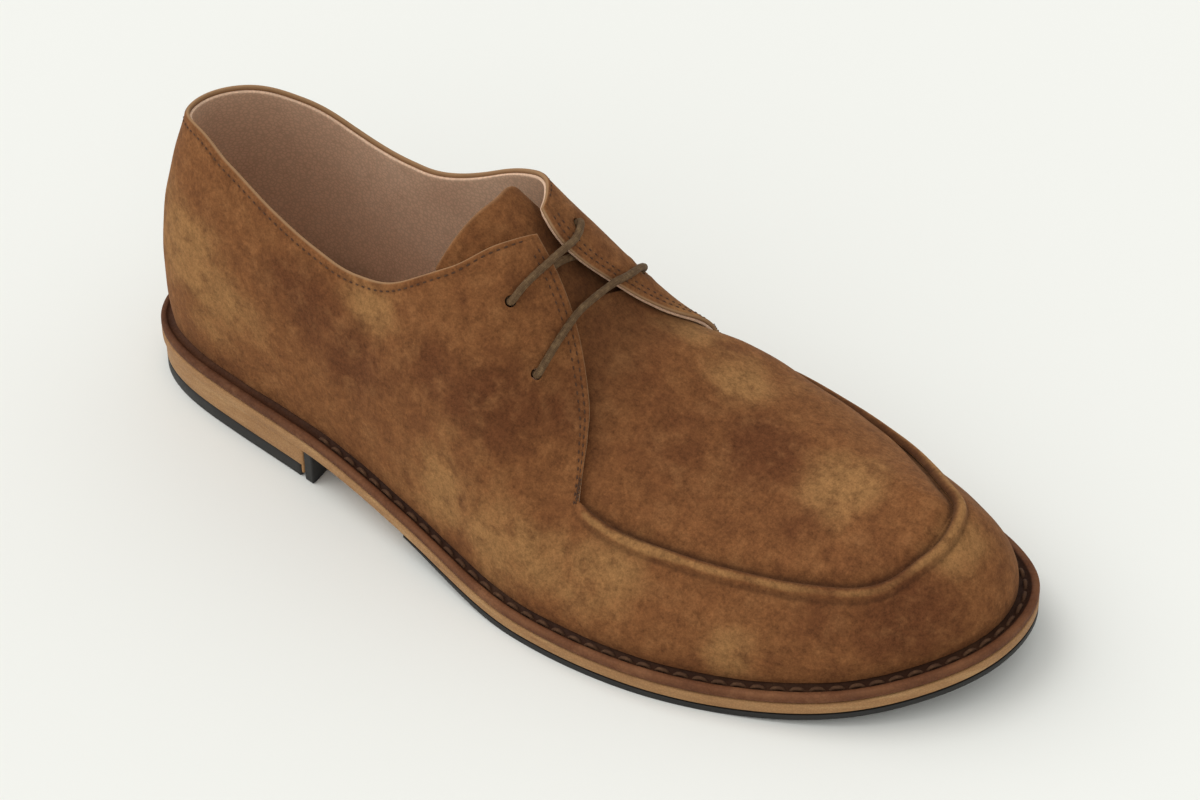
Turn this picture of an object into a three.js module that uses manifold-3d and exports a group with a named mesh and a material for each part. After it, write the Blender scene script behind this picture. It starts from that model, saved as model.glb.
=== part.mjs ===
// A suede lace-up shoe with an apron front, for the right foot, standing empty on its sole.
// Millimetres. +X runs from heel to toe, +Y to the inner (medial) side, +Z up.
// Tables hold shares of the named sizes above them, except where a column says mm.

import * as THREE from 'three';
import { mergeVertices } from 'three/addons/utils/BufferGeometryUtils.js';
import Module from 'manifold-3d';

const wasm = await Module();
wasm.setup();

// Driving sizes

const OUTER = -1; // the lateral side
const INNER = 1; // the medial side

const soleLength = 300;
const ballWidth = 112;
const instepHeight = 107; // ridge of the last above the ground, at the top of the facings
const backHeight = 118; // where the last's ridge would start above the heel
const toeHeight = 52; // ridge of the last above the ground, at the toe box
const heelRadius = 36;
const toeRadius = 42;
const toeSpring = 11;
const clearance = 0.3; // between pieces that touch

const welt = { reach: 5.6, thickness: 3, underUpper: 3 };
const leatherSole = { thickness: 4 };
const rubberSole = { thickness: 2, skived: 0.5, start: 118, skiveLength: 34 };
const heel = { length: 73.5, topPiece: 4.6, lift: 7, setIn: 0.8, strip: 1.2, stripFoot: 2, block: 3.6 };
const insole = { thickness: 4.2 };
const waistEnd = 168; // the forefoot's flat runs from here
const treadEnd = 222; // to here
const ridgeStart = 30;
const ridgeEnd = 262;

const sideWall = { proud: 0.4, thickness: 2.4 }; // outer face over the last surface, and wall
const vampWall = { under: 1.2, thickness: 1.8 }; // outer face under the last surface, and wall
const tongueWall = { under: 5.3, thickness: 1.5 };
const lace = { radius: 1.15, sides: 8, steps: 80 };
const eyelet = { radius: 2.1, sides: 20 };

// Shapes as tables

// The sole's outline: share of soleLength, and half widths as shares of ballWidth.
const outlineTable = [
  { share: 0.06, outer: 0.228, inner: 0.254 },
  { share: 0.14, outer: 0.292, inner: 0.306 },
  { share: 0.25, outer: 0.356, inner: 0.288 },
  { share: 0.40, outer: 0.462, inner: 0.268 },
  { share: 0.55, outer: 0.580, inner: 0.345 },
  { share: 0.68, outer: 0.596, inner: 0.406 },
  { share: 0.80, outer: 0.527, inner: 0.395 },
  { share: 0.90, outer: 0.406, inner: 0.328 },
  { share: 0.96, outer: 0.262, inner: 0.226 },
];

// How far the welt stands out of the upper: share of soleLength, and share of welt.reach.
const reachTable = [
  { share: 0, reach: 0.80 },
  { share: 0.25, reach: 0.95 },
  { share: 0.45, reach: 0.93 },
  { share: 0.65, reach: 0.97 },
  { share: 1, reach: 1.18 },
];

// The last's ridge: share along it, height as a share of instepHeight (backHeight and toeHeight set the
// two ends), and its shift to the inner side as a share of ballWidth.
const ridgeTable = [
  { along: 0, height: backHeight / instepHeight, shift: 0.030 },
  { along: 0.13, height: 1.148, shift: 0.027 },
  { along: 0.26, height: 1.155, shift: 0.024 },
  { along: 0.37, height: 1.150, shift: 0.030 },
  { along: 0.47, height: 0.960, shift: -0.037 },
  { along: 0.58, height: 0.680, shift: -0.019 },
  { along: 0.69, height: 0.562, shift: 0.037 },
  { along: 0.80, height: 0.507, shift: 0.060 },
  { along: 0.90, height: 0.483, shift: 0.036 },
  { along: 1, height: toeHeight / instepHeight, shift: 0.004 },
];

// Sections from the welt up to the ridge, by share of soleLength. bulge is in mm. wall is the share of the
// height that rises steeply, crown the share of the width that the top spans.
const sectionTables = {
  [OUTER]: [
    { share: 0, bulge: 5.6, wall: 0.38, crown: 0.66 },
    { share: 0.12, bulge: 4.4, wall: 0.43, crown: 0.74 },
    { share: 0.30, bulge: 2.0, wall: 0.44, crown: 0.72 },
    { share: 0.45, bulge: 1.7, wall: 0.47, crown: 0.62 },
    { share: 0.60, bulge: 1.9, wall: 0.44, crown: 0.34 },
    { share: 0.75, bulge: 2.3, wall: 0.52, crown: 0.40 },
    { share: 0.90, bulge: 1.4, wall: 0.58, crown: 0.43 },
    { share: 1, bulge: 0.8, wall: 0.58, crown: 0.40 },
  ],
  [INNER]: [
    { share: 0, bulge: 5.6, wall: 0.38, crown: 0.66 },
    { share: 0.12, bulge: 4.8, wall: 0.44, crown: 0.76 },
    { share: 0.30, bulge: 2.4, wall: 0.47, crown: 0.75 },
    { share: 0.45, bulge: 3.8, wall: 0.69, crown: 0.86 },
    { share: 0.60, bulge: 7.7, wall: 0.81, crown: 0.73 },
    { share: 0.75, bulge: 5.1, wall: 0.68, crown: 0.55 },
    { share: 0.90, bulge: 1.4, wall: 0.55, crown: 0.38 },
    { share: 1, bulge: 0.8, wall: 0.58, crown: 0.40 },
  ],
};

// The top edge of the side pieces, once round the shoe. Each row has its side, its share along the last,
// its rise from the welt (0) to the ridge (1), and the share where its line starts at the welt.
const collarEdge = [
  { side: INNER, share: 0.461, rise: 0.930, foot: 0.425 },
  { side: INNER, share: 0.450, rise: 0.835, foot: 0.410 },
  { side: INNER, share: 0.430, rise: 0.705, foot: 0.392 },
  { side: INNER, share: 0.400, rise: 0.585, foot: 0.365 },
  { side: INNER, share: 0.355, rise: 0.495, foot: 0.335 },
  { side: INNER, share: 0.300, rise: 0.455, foot: 0.290 },
  { side: INNER, share: 0.240, rise: 0.450, foot: 0.240 },
  { side: INNER, share: 0.180, rise: 0.475, foot: 0.180 },
  { side: INNER, share: 0.110, rise: 0.545, foot: 0.110 },
  { side: INNER, share: 0.045, rise: 0.608, foot: 0.045 },
  { side: OUTER, share: 0, rise: 0.628, foot: 0 },
  { side: OUTER, share: 0.045, rise: 0.633, foot: 0.045 },
  { side: OUTER, share: 0.110, rise: 0.575, foot: 0.110 },
  { side: OUTER, share: 0.180, rise: 0.510, foot: 0.180 },
  { side: OUTER, share: 0.240, rise: 0.473, foot: 0.240 },
  { side: OUTER, share: 0.300, rise: 0.462, foot: 0.290 },
  { side: OUTER, share: 0.355, rise: 0.499, foot: 0.335 },
  { side: OUTER, share: 0.410, rise: 0.640, foot: 0.375 },
  { side: OUTER, share: 0.447, rise: 0.822, foot: 0.405 },
  { side: OUTER, share: 0.475, rise: 0.979, foot: 0.425 },
];
const outerFacingEdge = [
  { side: OUTER, share: 0.475, rise: 0.979, foot: 0.425 },
  { side: OUTER, share: 0.515, rise: 0.944, foot: 0.452 },
  { side: OUTER, share: 0.549, rise: 0.855, foot: 0.478 },
  { side: OUTER, share: 0.580, rise: 0.703, foot: 0.505 },
  { side: OUTER, share: 0.589, rise: 0.611, foot: 0.530 },
  { side: OUTER, share: 0.592, rise: 0.563, foot: 0.554 },
  { side: OUTER, share: 0.598, rise: 0.432, foot: 0.575 },
];
const apronEdge = [
  { side: OUTER, share: 0.598, rise: 0.432, foot: 0.575 },
  { side: OUTER, share: 0.650, rise: 0.410, foot: 0.645 },
  { side: OUTER, share: 0.710, rise: 0.420, foot: 0.710 },
  { side: OUTER, share: 0.780, rise: 0.421, foot: 0.780 },
  { side: OUTER, share: 0.850, rise: 0.422, foot: 0.850 },
  { side: OUTER, share: 0.920, rise: 0.434, foot: 0.920 },
  { side: OUTER, share: 0.968, rise: 0.521, foot: 0.968 },
  { side: OUTER, share: 1, rise: 0.662, foot: 1 },
  { side: INNER, share: 0.968, rise: 0.562, foot: 0.968 },
  { side: INNER, share: 0.920, rise: 0.472, foot: 0.920 },
  { side: INNER, share: 0.850, rise: 0.439, foot: 0.850 },
  { side: INNER, share: 0.780, rise: 0.407, foot: 0.780 },
  { side: INNER, share: 0.710, rise: 0.377, foot: 0.710 },
  { side: INNER, share: 0.650, rise: 0.332, foot: 0.645 },
  { side: INNER, share: 0.596, rise: 0.353, foot: 0.575 },
];
const innerFacingEdge = [
  { side: INNER, share: 0.596, rise: 0.353, foot: 0.575 },
  { side: INNER, share: 0.590, rise: 0.404, foot: 0.556 },
  { side: INNER, share: 0.591, rise: 0.481, foot: 0.536 },
  { side: INNER, share: 0.585, rise: 0.656, foot: 0.515 },
  { side: INNER, share: 0.563, rise: 0.765, foot: 0.495 },
  { side: INNER, share: 0.538, rise: 0.845, foot: 0.476 },
  { side: INNER, share: 0.512, rise: 0.918, foot: 0.458 },
  { side: INNER, share: 0.488, rise: 0.945, foot: 0.441 },
  { side: INNER, share: 0.461, rise: 0.930, foot: 0.425 },
];

// The vamp's plug, from its free back edge under the facings to the toe. outer and inner are the rises
// where it ends on each side, sink (mm) is how far it dips under the facings.
const vampTable = [
  { share: 0.545, outer: 0.640, inner: 0.620, sink: 2.0 },
  { share: 0.570, outer: 0.540, inner: 0.520, sink: 1.6 },
  { share: 0.592, outer: 0.420, inner: 0.330, sink: 0.9 },
  { share: 0.620, outer: 0.355, inner: 0.285, sink: 0.2 },
  { share: 0.650, outer: 0.350, inner: 0.278, sink: 0 },
  { share: 0.710, outer: 0.358, inner: 0.315, sink: 0 },
  { share: 0.780, outer: 0.358, inner: 0.345, sink: 0 },
  { share: 0.850, outer: 0.360, inner: 0.375, sink: 0 },
  { share: 0.920, outer: 0.372, inner: 0.408, sink: 0 },
  { share: 0.968, outer: 0.460, inner: 0.498, sink: 0 },
  { share: 1, outer: 0.600, inner: 0.600, sink: 0 },
];

// The tongue, from under the vamp to its rounded top: share on the ridge, then the share and the rise where
// it ends on each side, and dip (mm), which is how far its inner edge falls into the shoe.
const tongueTable = [
  { ridge: 0.600, outer: 0.585, outerRise: 0.760, inner: 0.585, innerRise: 0.700, dip: 0 },
  { ridge: 0.570, outer: 0.545, outerRise: 0.700, inner: 0.560, innerRise: 0.660, dip: 0 },
  { ridge: 0.530, outer: 0.495, outerRise: 0.660, inner: 0.530, innerRise: 0.620, dip: 0 },
  { ridge: 0.490, outer: 0.445, outerRise: 0.620, inner: 0.500, innerRise: 0.620, dip: 0.5 },
  { ridge: 0.462, outer: 0.410, outerRise: 0.590, inner: 0.480, innerRise: 0.620, dip: 2.0 },
  { ridge: 0.446, outer: 0.392, outerRise: 0.570, inner: 0.462, innerRise: 0.630, dip: 3.5 },
  { ridge: 0.437, outer: 0.386, outerRise: 0.565, inner: 0.448, innerRise: 0.650, dip: 4.5 },
  { ridge: 0.431, outer: 0.384, outerRise: 0.570, inner: 0.436, innerRise: 0.680, dip: 5.0 },
];

const eyelets = {
  outerTop: { side: OUTER, share: 0.479, rise: 0.741 },
  outerLow: { side: OUTER, share: 0.523, rise: 0.652 },
  innerTop: { side: INNER, share: 0.483, rise: 0.800 },
  innerLow: { side: INNER, share: 0.525, rise: 0.575 },
};

// The lace's route, by hand, from its end under the outer top eyelet to its end under the inner one. level
// says how it lies: over or under the facings, or inside an eyelet at its mouth, middle or back.
const laceRoute = [
  { side: OUTER, share: 0.486, rise: 0.678, level: 'under' },
  { side: OUTER, share: 0.497, rise: 0.642, level: 'under' },
  { side: OUTER, share: 0.509, rise: 0.630, level: 'under' },
  { side: OUTER, share: 0.517, rise: 0.639, level: 'under' },
  { ...eyelets.outerLow, level: 'back' },
  { ...eyelets.outerLow, level: 'middle' },
  { ...eyelets.outerLow, level: 'mouth' },
  { side: OUTER, share: 0.526, rise: 0.705, level: 'over' },
  { side: OUTER, share: 0.530, rise: 0.775, level: 'over' },
  { side: OUTER, share: 0.534, rise: 0.845, level: 'over' },
  { side: OUTER, share: 0.538, rise: 0.912, level: 'over' },
  { side: INNER, share: 0.5385, rise: 0.870, level: 'over' },
  { side: INNER, share: 0.537, rise: 0.805, level: 'over' },
  { side: INNER, share: 0.534, rise: 0.735, level: 'over' },
  { side: INNER, share: 0.530, rise: 0.665, level: 'over' },
  { ...eyelets.innerLow, level: 'mouth' },
  { ...eyelets.innerLow, level: 'middle' },
  { ...eyelets.innerLow, level: 'back' },
  { side: INNER, share: 0.519, rise: 0.605, level: 'under' },
  { side: INNER, share: 0.512, rise: 0.700, level: 'under' },
  { side: INNER, share: 0.508, rise: 0.850, level: 'under' },
  { side: OUTER, share: 0.508, rise: 1, level: 'under' },
  { side: OUTER, share: 0.506, rise: 0.930, level: 'under' },
  { side: OUTER, share: 0.497, rise: 0.845, level: 'under' },
  { side: OUTER, share: 0.487, rise: 0.785, level: 'under' },
  { ...eyelets.outerTop, level: 'back' },
  { ...eyelets.outerTop, level: 'middle' },
  { ...eyelets.outerTop, level: 'mouth' },
  { side: OUTER, share: 0.483, rise: 0.797, level: 'over' },
  { side: OUTER, share: 0.489, rise: 0.865, level: 'over' },
  { side: OUTER, share: 0.4945, rise: 0.930, level: 'over' },
  { side: OUTER, share: 0.498, rise: 0.985, level: 'over' },
  { side: INNER, share: 0.4975, rise: 0.960, level: 'over' },
  { side: INNER, share: 0.495, rise: 0.905, level: 'over' },
  { side: INNER, share: 0.490, rise: 0.855, level: 'over' },
  { ...eyelets.innerTop, level: 'mouth' },
  { ...eyelets.innerTop, level: 'middle' },
  { ...eyelets.innerTop, level: 'back' },
  { side: INNER, share: 0.475, rise: 0.765, level: 'under' },
  { side: INNER, share: 0.467, rise: 0.735, level: 'under' },
];

// Curves and the last's surface

const mix = (a, b, t) => a + (b - a) * t;
const clamp01 = (t) => Math.min(1, Math.max(0, t));
const smooth = (t) => t * t * (3 - 2 * t);
const angleOf = (share) => Math.acos(1 - 2 * share);
const shareOf = (angle) => (1 - Math.cos(angle)) / 2;

/** A smooth curve through the points (xs, ys), with a tangent from both neighbours at each point. */
function spline(xs, ys, x) {
  const last = xs.length - 1;
  const slope = (i) => (ys[i + 1] - ys[i]) / (xs[i + 1] - xs[i]);
  const inside = (i) => {
    const before = xs[i] - xs[i - 1];
    const after = xs[i + 1] - xs[i];
    return (slope(i - 1) * after + slope(i) * before) / (before + after);
  };
  const tangent = (i) => {
    if (i === 0) return 1.5 * slope(0) - 0.5 * inside(1);
    if (i === last) return 1.5 * slope(last - 1) - 0.5 * inside(last - 1);
    return inside(i);
  };
  let k = 0;
  while (k < last - 1 && x > xs[k + 1]) k += 1;
  const h = xs[k + 1] - xs[k];
  const t = clamp01((x - xs[k]) / h);
  return (
    (2 * t ** 3 - 3 * t ** 2 + 1) * ys[k] +
    (t ** 3 - 2 * t ** 2 + t) * h * tangent(k) +
    (3 * t ** 2 - 2 * t ** 3) * ys[k + 1] +
    (t ** 3 - t ** 2) * h * tangent(k + 1)
  );
}

/** A function that reads one column of a table by its key column. */
function curve(table, key, column) {
  const xs = table.map((row) => row[key]);
  const ys = table.map((row) => row[column]);
  return (x) => spline(xs, ys, x);
}

/** The turn round the shoe for an angle: 0 at the heel, PI at the toe, negative on the inner side. */
const turnOf = (side, angle) => (side === OUTER ? angle : -angle);

/** The side and the angle that a turn stands for. */
function halfOf(turn) {
  const wrapped = Math.atan2(Math.sin(turn), Math.cos(turn));
  return { side: wrapped >= 0 ? OUTER : INNER, angle: Math.abs(wrapped) };
}

/** The outline's half width over the sine of the angle, which stays smooth round the heel and the toe. */
function outlineCurve(column) {
  const angles = outlineTable.map((row) => angleOf(row.share));
  const widths = outlineTable.map((row, i) => (row[column] * ballWidth) / Math.sin(angles[i]));
  const xs = [0, ...angles, Math.PI];
  const ys = [Math.sqrt((heelRadius * soleLength) / 2), ...widths, Math.sqrt((toeRadius * soleLength) / 2)];
  return (angle) => spline(xs, ys, angle);
}

const outlineWidth = { [OUTER]: outlineCurve('outer'), [INNER]: outlineCurve('inner') };

/** The sole's outline in plan. */
function outlinePoint(turn) {
  const { side, angle } = halfOf(turn);
  const halfWidth = Math.sin(angle) * outlineWidth[side](angle);
  return new THREE.Vector2(soleLength * shareOf(angle), side * halfWidth);
}

/** The same outline moved inward along its normal. */
function insetPoint(turn, inset) {
  const tiny = 1e-4;
  const along = outlinePoint(turn + tiny).sub(outlinePoint(turn - tiny)).normalize();
  return outlinePoint(turn).add(new THREE.Vector2(-along.y, along.x).multiplyScalar(inset));
}

const reachAt = curve(reachTable, 'share', 'reach');

/** How far the upper's foot lies inside the outline. */
const footInset = (angle) => welt.reach * reachAt(shareOf(angle));

const seatHeight = heel.topPiece + heel.lift + 2 * clearance;
const treadHeight = rubberSole.thickness + clearance;

/** Height of the leather sole's underside: flat heel seat, waist, flat tread, toe spring. */
function soleUnderside(x) {
  const waist = smooth(clamp01((x - heel.length) / (waistEnd - heel.length)));
  const toe = clamp01((x - treadEnd) / (soleLength - treadEnd));
  return mix(seatHeight, treadHeight, waist) + toeSpring * toe ** 2;
}

const weltUnderside = (x) => soleUnderside(x) + leatherSole.thickness + clearance;
const footHeight = (x) => weltUnderside(x) + welt.thickness + clearance;

const ridgeHeightAt = curve(ridgeTable, 'along', 'height');
const ridgeShiftAt = curve(ridgeTable, 'along', 'shift');

/** A point of the last's ridge, and the slope of the ridge there. */
function ridgePoint(angle) {
  const along = shareOf(angle);
  const near = 0.002;
  const low = clamp01(along - near);
  const high = clamp01(along + near);
  const climb = instepHeight * (ridgeHeightAt(high) - ridgeHeightAt(low));
  const x = mix(ridgeStart, ridgeEnd, along);
  const point = new THREE.Vector3(x, ballWidth * ridgeShiftAt(along), instepHeight * ridgeHeightAt(along));
  return { point, slope: climb / ((high - low) * (ridgeEnd - ridgeStart)) };
}

/** The three columns of a side's section table. */
function sectionCurves(table) {
  return {
    bulge: curve(table, 'share', 'bulge'),
    wall: curve(table, 'share', 'wall'),
    crown: curve(table, 'share', 'crown'),
  };
}

const sections = {
  [OUTER]: sectionCurves(sectionTables[OUTER]),
  [INNER]: sectionCurves(sectionTables[INNER]),
};

/** A point of the last's surface: a cubic in an upright plane, from the welt to the ridge. */
function lastPoint(turn, rise) {
  const { side, angle } = halfOf(turn);
  const foot = insetPoint(turn, footInset(angle));
  const footZ = footHeight(foot.x);
  const { point: top, slope } = ridgePoint(angle);
  const across = new THREE.Vector2(top.x - foot.x, top.y - foot.y);
  const section = sections[side];
  const share = shareOf(angle);
  const bulge = section.bulge(share) / across.length();
  const wall = section.wall(share);
  const crown = section.crown(share);
  const b1 = 3 * (1 - rise) ** 2 * rise;
  const b2 = 3 * (1 - rise) * rise ** 2;
  const b3 = rise ** 3;
  const inward = -b1 * bulge + b2 * (1 - crown) + b3;
  const wallZ = mix(footZ, top.z, wall);
  const crownZ = top.z - crown * across.x * slope;
  const z = (1 - rise) ** 3 * footZ + b1 * wallZ + b2 * crownZ + b3 * top.z;
  return new THREE.Vector3(foot.x + across.x * inward, foot.y + across.y * inward, z);
}

/** The outward normal of the last's surface. On the ridge, both sides lie level across the shoe. */
function normalAt(turn, rise) {
  const step = 1e-3;
  if (rise > 1 - step) {
    const { slope } = ridgePoint(halfOf(turn).angle);
    return new THREE.Vector3(-slope, 0, 1).normalize();
  }
  const along = lastPoint(turn + step, rise).sub(lastPoint(turn - step, rise));
  const up = lastPoint(turn, rise + step).sub(lastPoint(turn, Math.max(0, rise - step)));
  return along.cross(up).normalize();
}

/** A point lifted off the last's surface along its outward normal. */
function liftedPoint(turn, rise, lift) {
  return lastPoint(turn, rise).addScaledVector(normalAt(turn, rise), lift);
}

// Solids from points

/** An indexed geometry from triangles of Vector3, its repeated corners merged and its empty faces dropped. */
function geometryFrom(triangles) {
  const flat = triangles.flatMap((triangle) => triangle.flatMap((p) => [p.x, p.y, p.z]));
  const soup = new THREE.BufferGeometry();
  soup.setAttribute('position', new THREE.Float32BufferAttribute(flat, 3));
  const merged = mergeVertices(soup, 1e-3);
  const kept = [];
  const index = merged.index.array;
  for (let i = 0; i < index.length; i += 3) {
    const [a, b, c] = [index[i], index[i + 1], index[i + 2]];
    if (a !== b && b !== c && c !== a) kept.push(a, b, c);
  }
  merged.setIndex(kept);
  if (signedVolume(merged) < 0) {
    for (let i = 0; i < kept.length; i += 3) [kept[i], kept[i + 1]] = [kept[i + 1], kept[i]];
    merged.setIndex(kept);
  }
  return merged;
}

function signedVolume(geometry) {
  const position = geometry.attributes.position;
  const index = geometry.index.array;
  const corner = (i) => new THREE.Vector3().fromBufferAttribute(position, index[i]);
  let volume = 0;
  for (let i = 0; i < index.length; i += 3) {
    volume += corner(i).dot(corner(i + 1).cross(corner(i + 2))) / 6;
  }
  return volume;
}

/** Two triangles for the face a, b, c, d. */
const quad = (a, b, c, d) => [[a, b, c], [a, c, d]];

/** The solid swept by closed sections of equally many points; loop joins the last to the first. */
function loft(sections, { loop = false } = {}) {
  const triangles = [];
  const count = sections.length;
  const corners = sections[0].length;
  for (let i = 0; i < (loop ? count : count - 1); i += 1) {
    const here = sections[i];
    const next = sections[(i + 1) % count];
    for (let j = 0; j < corners; j += 1) {
      const k = (j + 1) % corners;
      triangles.push(...quad(here[j], next[j], next[k], here[k]));
    }
  }
  if (!loop) {
    const first = sections[0];
    const end = sections[count - 1];
    for (let j = 1; j < corners - 1; j += 1) {
      triangles.push([first[0], first[j], first[j + 1]]);
      triangles.push([end[0], end[j + 1], end[j]]);
    }
  }
  return geometryFrom(triangles);
}

/** The shell between two grids of points; zipped leaves out the rim where the last row folds shut. */
function shell(outside, inside, { zipped = false } = {}) {
  const triangles = [];
  const rows = outside.length;
  const columns = outside[0].length;
  for (let i = 0; i < rows - 1; i += 1) {
    for (let j = 0; j < columns - 1; j += 1) {
      triangles.push(...quad(outside[i][j], outside[i + 1][j], outside[i + 1][j + 1], outside[i][j + 1]));
      triangles.push(...quad(inside[i][j], inside[i][j + 1], inside[i + 1][j + 1], inside[i + 1][j]));
    }
    for (const [j, flip] of [[0, true], [columns - 1, false]]) {
      const face = [outside[i][j], outside[i + 1][j], inside[i + 1][j], inside[i][j]];
      triangles.push(...quad(...(flip ? face.reverse() : face)));
    }
  }
  for (const [i, flip] of zipped ? [[0, false]] : [[0, false], [rows - 1, true]]) {
    for (let j = 0; j < columns - 1; j += 1) {
      const face = [outside[i][j], outside[i][j + 1], inside[i][j + 1], inside[i][j]];
      triangles.push(...quad(...(flip ? face.reverse() : face)));
    }
  }
  return geometryFrom(triangles);
}

function toManifold(geometry) {
  return new wasm.Manifold(new wasm.Mesh({
    numProp: 3,
    vertProperties: geometry.attributes.position.array,
    triVerts: Uint32Array.from(geometry.index.array),
  }));
}

function fromManifold(solid) {
  const mesh = solid.getMesh();
  const geometry = new THREE.BufferGeometry();
  geometry.setAttribute('position', new THREE.BufferAttribute(mesh.vertProperties, 3));
  geometry.setIndex(new THREE.BufferAttribute(mesh.triVerts, 1));
  return geometry;
}

/** Evenly spaced values from a to b, both included. */
const range = (a, b, steps) => Array.from({ length: steps + 1 }, (_, i) => mix(a, b, i / steps));

// The sole's pieces

/** A slab across the shoe between two angles, with flat strips from side to side. */
function slab({ from, to, steps, inset, low, high }) {
  return loft(range(from, to, steps).map((angle) => {
    const outer = insetPoint(turnOf(OUTER, angle), inset(angle));
    const inner = insetPoint(turnOf(INNER, angle), inset(angle));
    return [
      new THREE.Vector3(outer.x, outer.y, low(outer.x)),
      new THREE.Vector3(inner.x, inner.y, low(inner.x)),
      new THREE.Vector3(inner.x, inner.y, high(inner.x)),
      new THREE.Vector3(outer.x, outer.y, high(outer.x)),
    ];
  }));
}

const angleAt = (x) => angleOf(x / soleLength);

function leatherSoleGeometry() {
  return slab({
    from: 0,
    to: Math.PI,
    steps: 64,
    inset: () => 0,
    low: soleUnderside,
    high: (x) => soleUnderside(x) + leatherSole.thickness,
  });
}

function rubberSoleGeometry() {
  const top = (x) => soleUnderside(x) - clearance;
  const thick = (x) => {
    const t = clamp01((x - rubberSole.start) / rubberSole.skiveLength);
    return mix(rubberSole.skived, rubberSole.thickness, t);
  };
  return slab({
    from: angleAt(rubberSole.start),
    to: Math.PI,
    steps: 44,
    inset: () => 0,
    low: (x) => top(x) - thick(x),
    high: top,
  });
}

/** The heel's outline stays clear of the welt's edge. */
const heelInset = () => heel.setIn;

function heelTopPieceGeometry() {
  return slab({
    from: 0,
    to: angleAt(heel.length - heel.strip - clearance),
    steps: 26,
    inset: heelInset,
    low: () => 0,
    high: () => heel.topPiece,
  });
}

/** The leather lift, with the strip that turns down in front of the top piece, short of the ground. */
function heelLiftGeometry() {
  const low = heel.topPiece + clearance;
  const high = low + heel.lift;
  const lift = slab({
    from: 0,
    to: angleAt(heel.length),
    steps: 26,
    inset: heelInset,
    low: () => low,
    high: () => high,
  });
  const strip = slab({
    from: angleAt(heel.length - heel.strip),
    to: angleAt(heel.length),
    steps: 1,
    inset: heelInset,
    low: () => heel.stripFoot,
    high: () => high,
  });
  return fromManifold(toManifold(lift).add(toManifold(strip)));
}

function heelBreastBlockGeometry() {
  const start = heel.length + clearance;
  return slab({
    from: angleAt(start),
    to: angleAt(start + heel.block),
    steps: 3,
    inset: heelInset,
    low: () => 0,
    high: (x) => soleUnderside(x) - clearance,
  });
}

function weltGeometry() {
  const section = (turn) => {
    const outer = outlinePoint(turn);
    const inner = insetPoint(turn, footInset(Math.abs(turn)) + welt.underUpper);
    const at = (p, z) => new THREE.Vector3(p.x, p.y, z);
    return [
      at(outer, weltUnderside(outer.x)),
      at(outer, weltUnderside(outer.x) + welt.thickness),
      at(inner, weltUnderside(inner.x) + welt.thickness),
      at(inner, weltUnderside(inner.x)),
    ];
  };
  return loft(range(-Math.PI, Math.PI, 112).slice(1).map(section), { loop: true });
}

function insoleGeometry() {
  return slab({
    from: 0,
    to: Math.PI,
    steps: 48,
    inset: (angle) => footInset(angle) + welt.underUpper + clearance,
    low: weltUnderside,
    high: (x) => weltUnderside(x) + insole.thickness,
  });
}

// The upper

/** Columns of the side pieces along one stretch of the top edge, evenly spread over its rows. */
function edgeColumns(rows, count, { pastToe = false } = {}) {
  const turn = (row, share) => {
    const signed = turnOf(row.side, angleOf(share));
    return pastToe && signed < 0 ? signed + 2 * Math.PI : signed;
  };
  const turned = rows.map((row, place) => ({
    place,
    top: turn(row, row.share),
    foot: turn(row, row.foot),
    rise: row.rise,
  }));
  const [top, foot, rise] = ['top', 'foot', 'rise'].map((name) => curve(turned, 'place', name));
  return range(0, rows.length - 1, count).map((place) => ({
    top: top(place),
    foot: foot(place),
    rise: rise(place),
  }));
}

/** The side pieces and quarters, one closed ring of wall from the welt to the top edge. */
function sideRingGeometry() {
  const columns = [
    ...edgeColumns(collarEdge, 36).slice(0, -1),
    ...edgeColumns(outerFacingEdge, 10).slice(0, -1),
    ...edgeColumns(apronEdge, 34, { pastToe: true }).slice(0, -1),
    ...edgeColumns(innerFacingEdge, 10).slice(0, -1),
  ];
  const heights = range(0, 1, 9);
  const climb = (column, lift) => heights.map((t) => (
    liftedPoint(mix(column.foot, column.top, t), column.rise * t, lift)
  ));
  const rings = columns.map((column) => [
    ...climb(column, sideWall.proud),
    ...climb(column, sideWall.proud - sideWall.thickness).reverse(),
  ]);
  return loft(rings, { loop: true });
}

/** The share of the way to a side, which starts flat on the ridge. */
const rounded = (across) => (Math.hypot(across, 0.2) - 0.2) / (Math.hypot(1, 0.2) - 0.2);

/** A grid over the ridge from one side to the other, one row for each station. */
function crossGrid(stations, columns, lift) {
  return stations.map(({ ridge, outer, inner, sink, dip }) => range(-1, 1, columns).map((q) => {
    const across = Math.abs(q);
    const [side, end] = q < 0 ? [OUTER, outer] : [INNER, inner];
    const angle = mix(ridge, end.angle, rounded(across));
    const drop = side === INNER ? sink + dip * across ** 2 : sink;
    return liftedPoint(turnOf(side, angle), mix(1, end.rise, across), lift - drop);
  }));
}

function vampGeometry() {
  const [outer, inner, sink] = ['outer', 'inner', 'sink'].map((name) => curve(vampTable, 'share', name));
  const stations = range(angleOf(vampTable[0].share), Math.PI, 24).map((angle) => {
    const share = shareOf(angle);
    return {
      ridge: angle,
      outer: { angle, rise: outer(share) },
      inner: { angle, rise: inner(share) },
      sink: sink(share),
      dip: 0,
    };
  });
  const outside = crossGrid(stations, 20, -vampWall.under);
  const inside = crossGrid(stations, 20, -vampWall.under - vampWall.thickness);
  return shell(outside, inside, { zipped: true });
}

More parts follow.
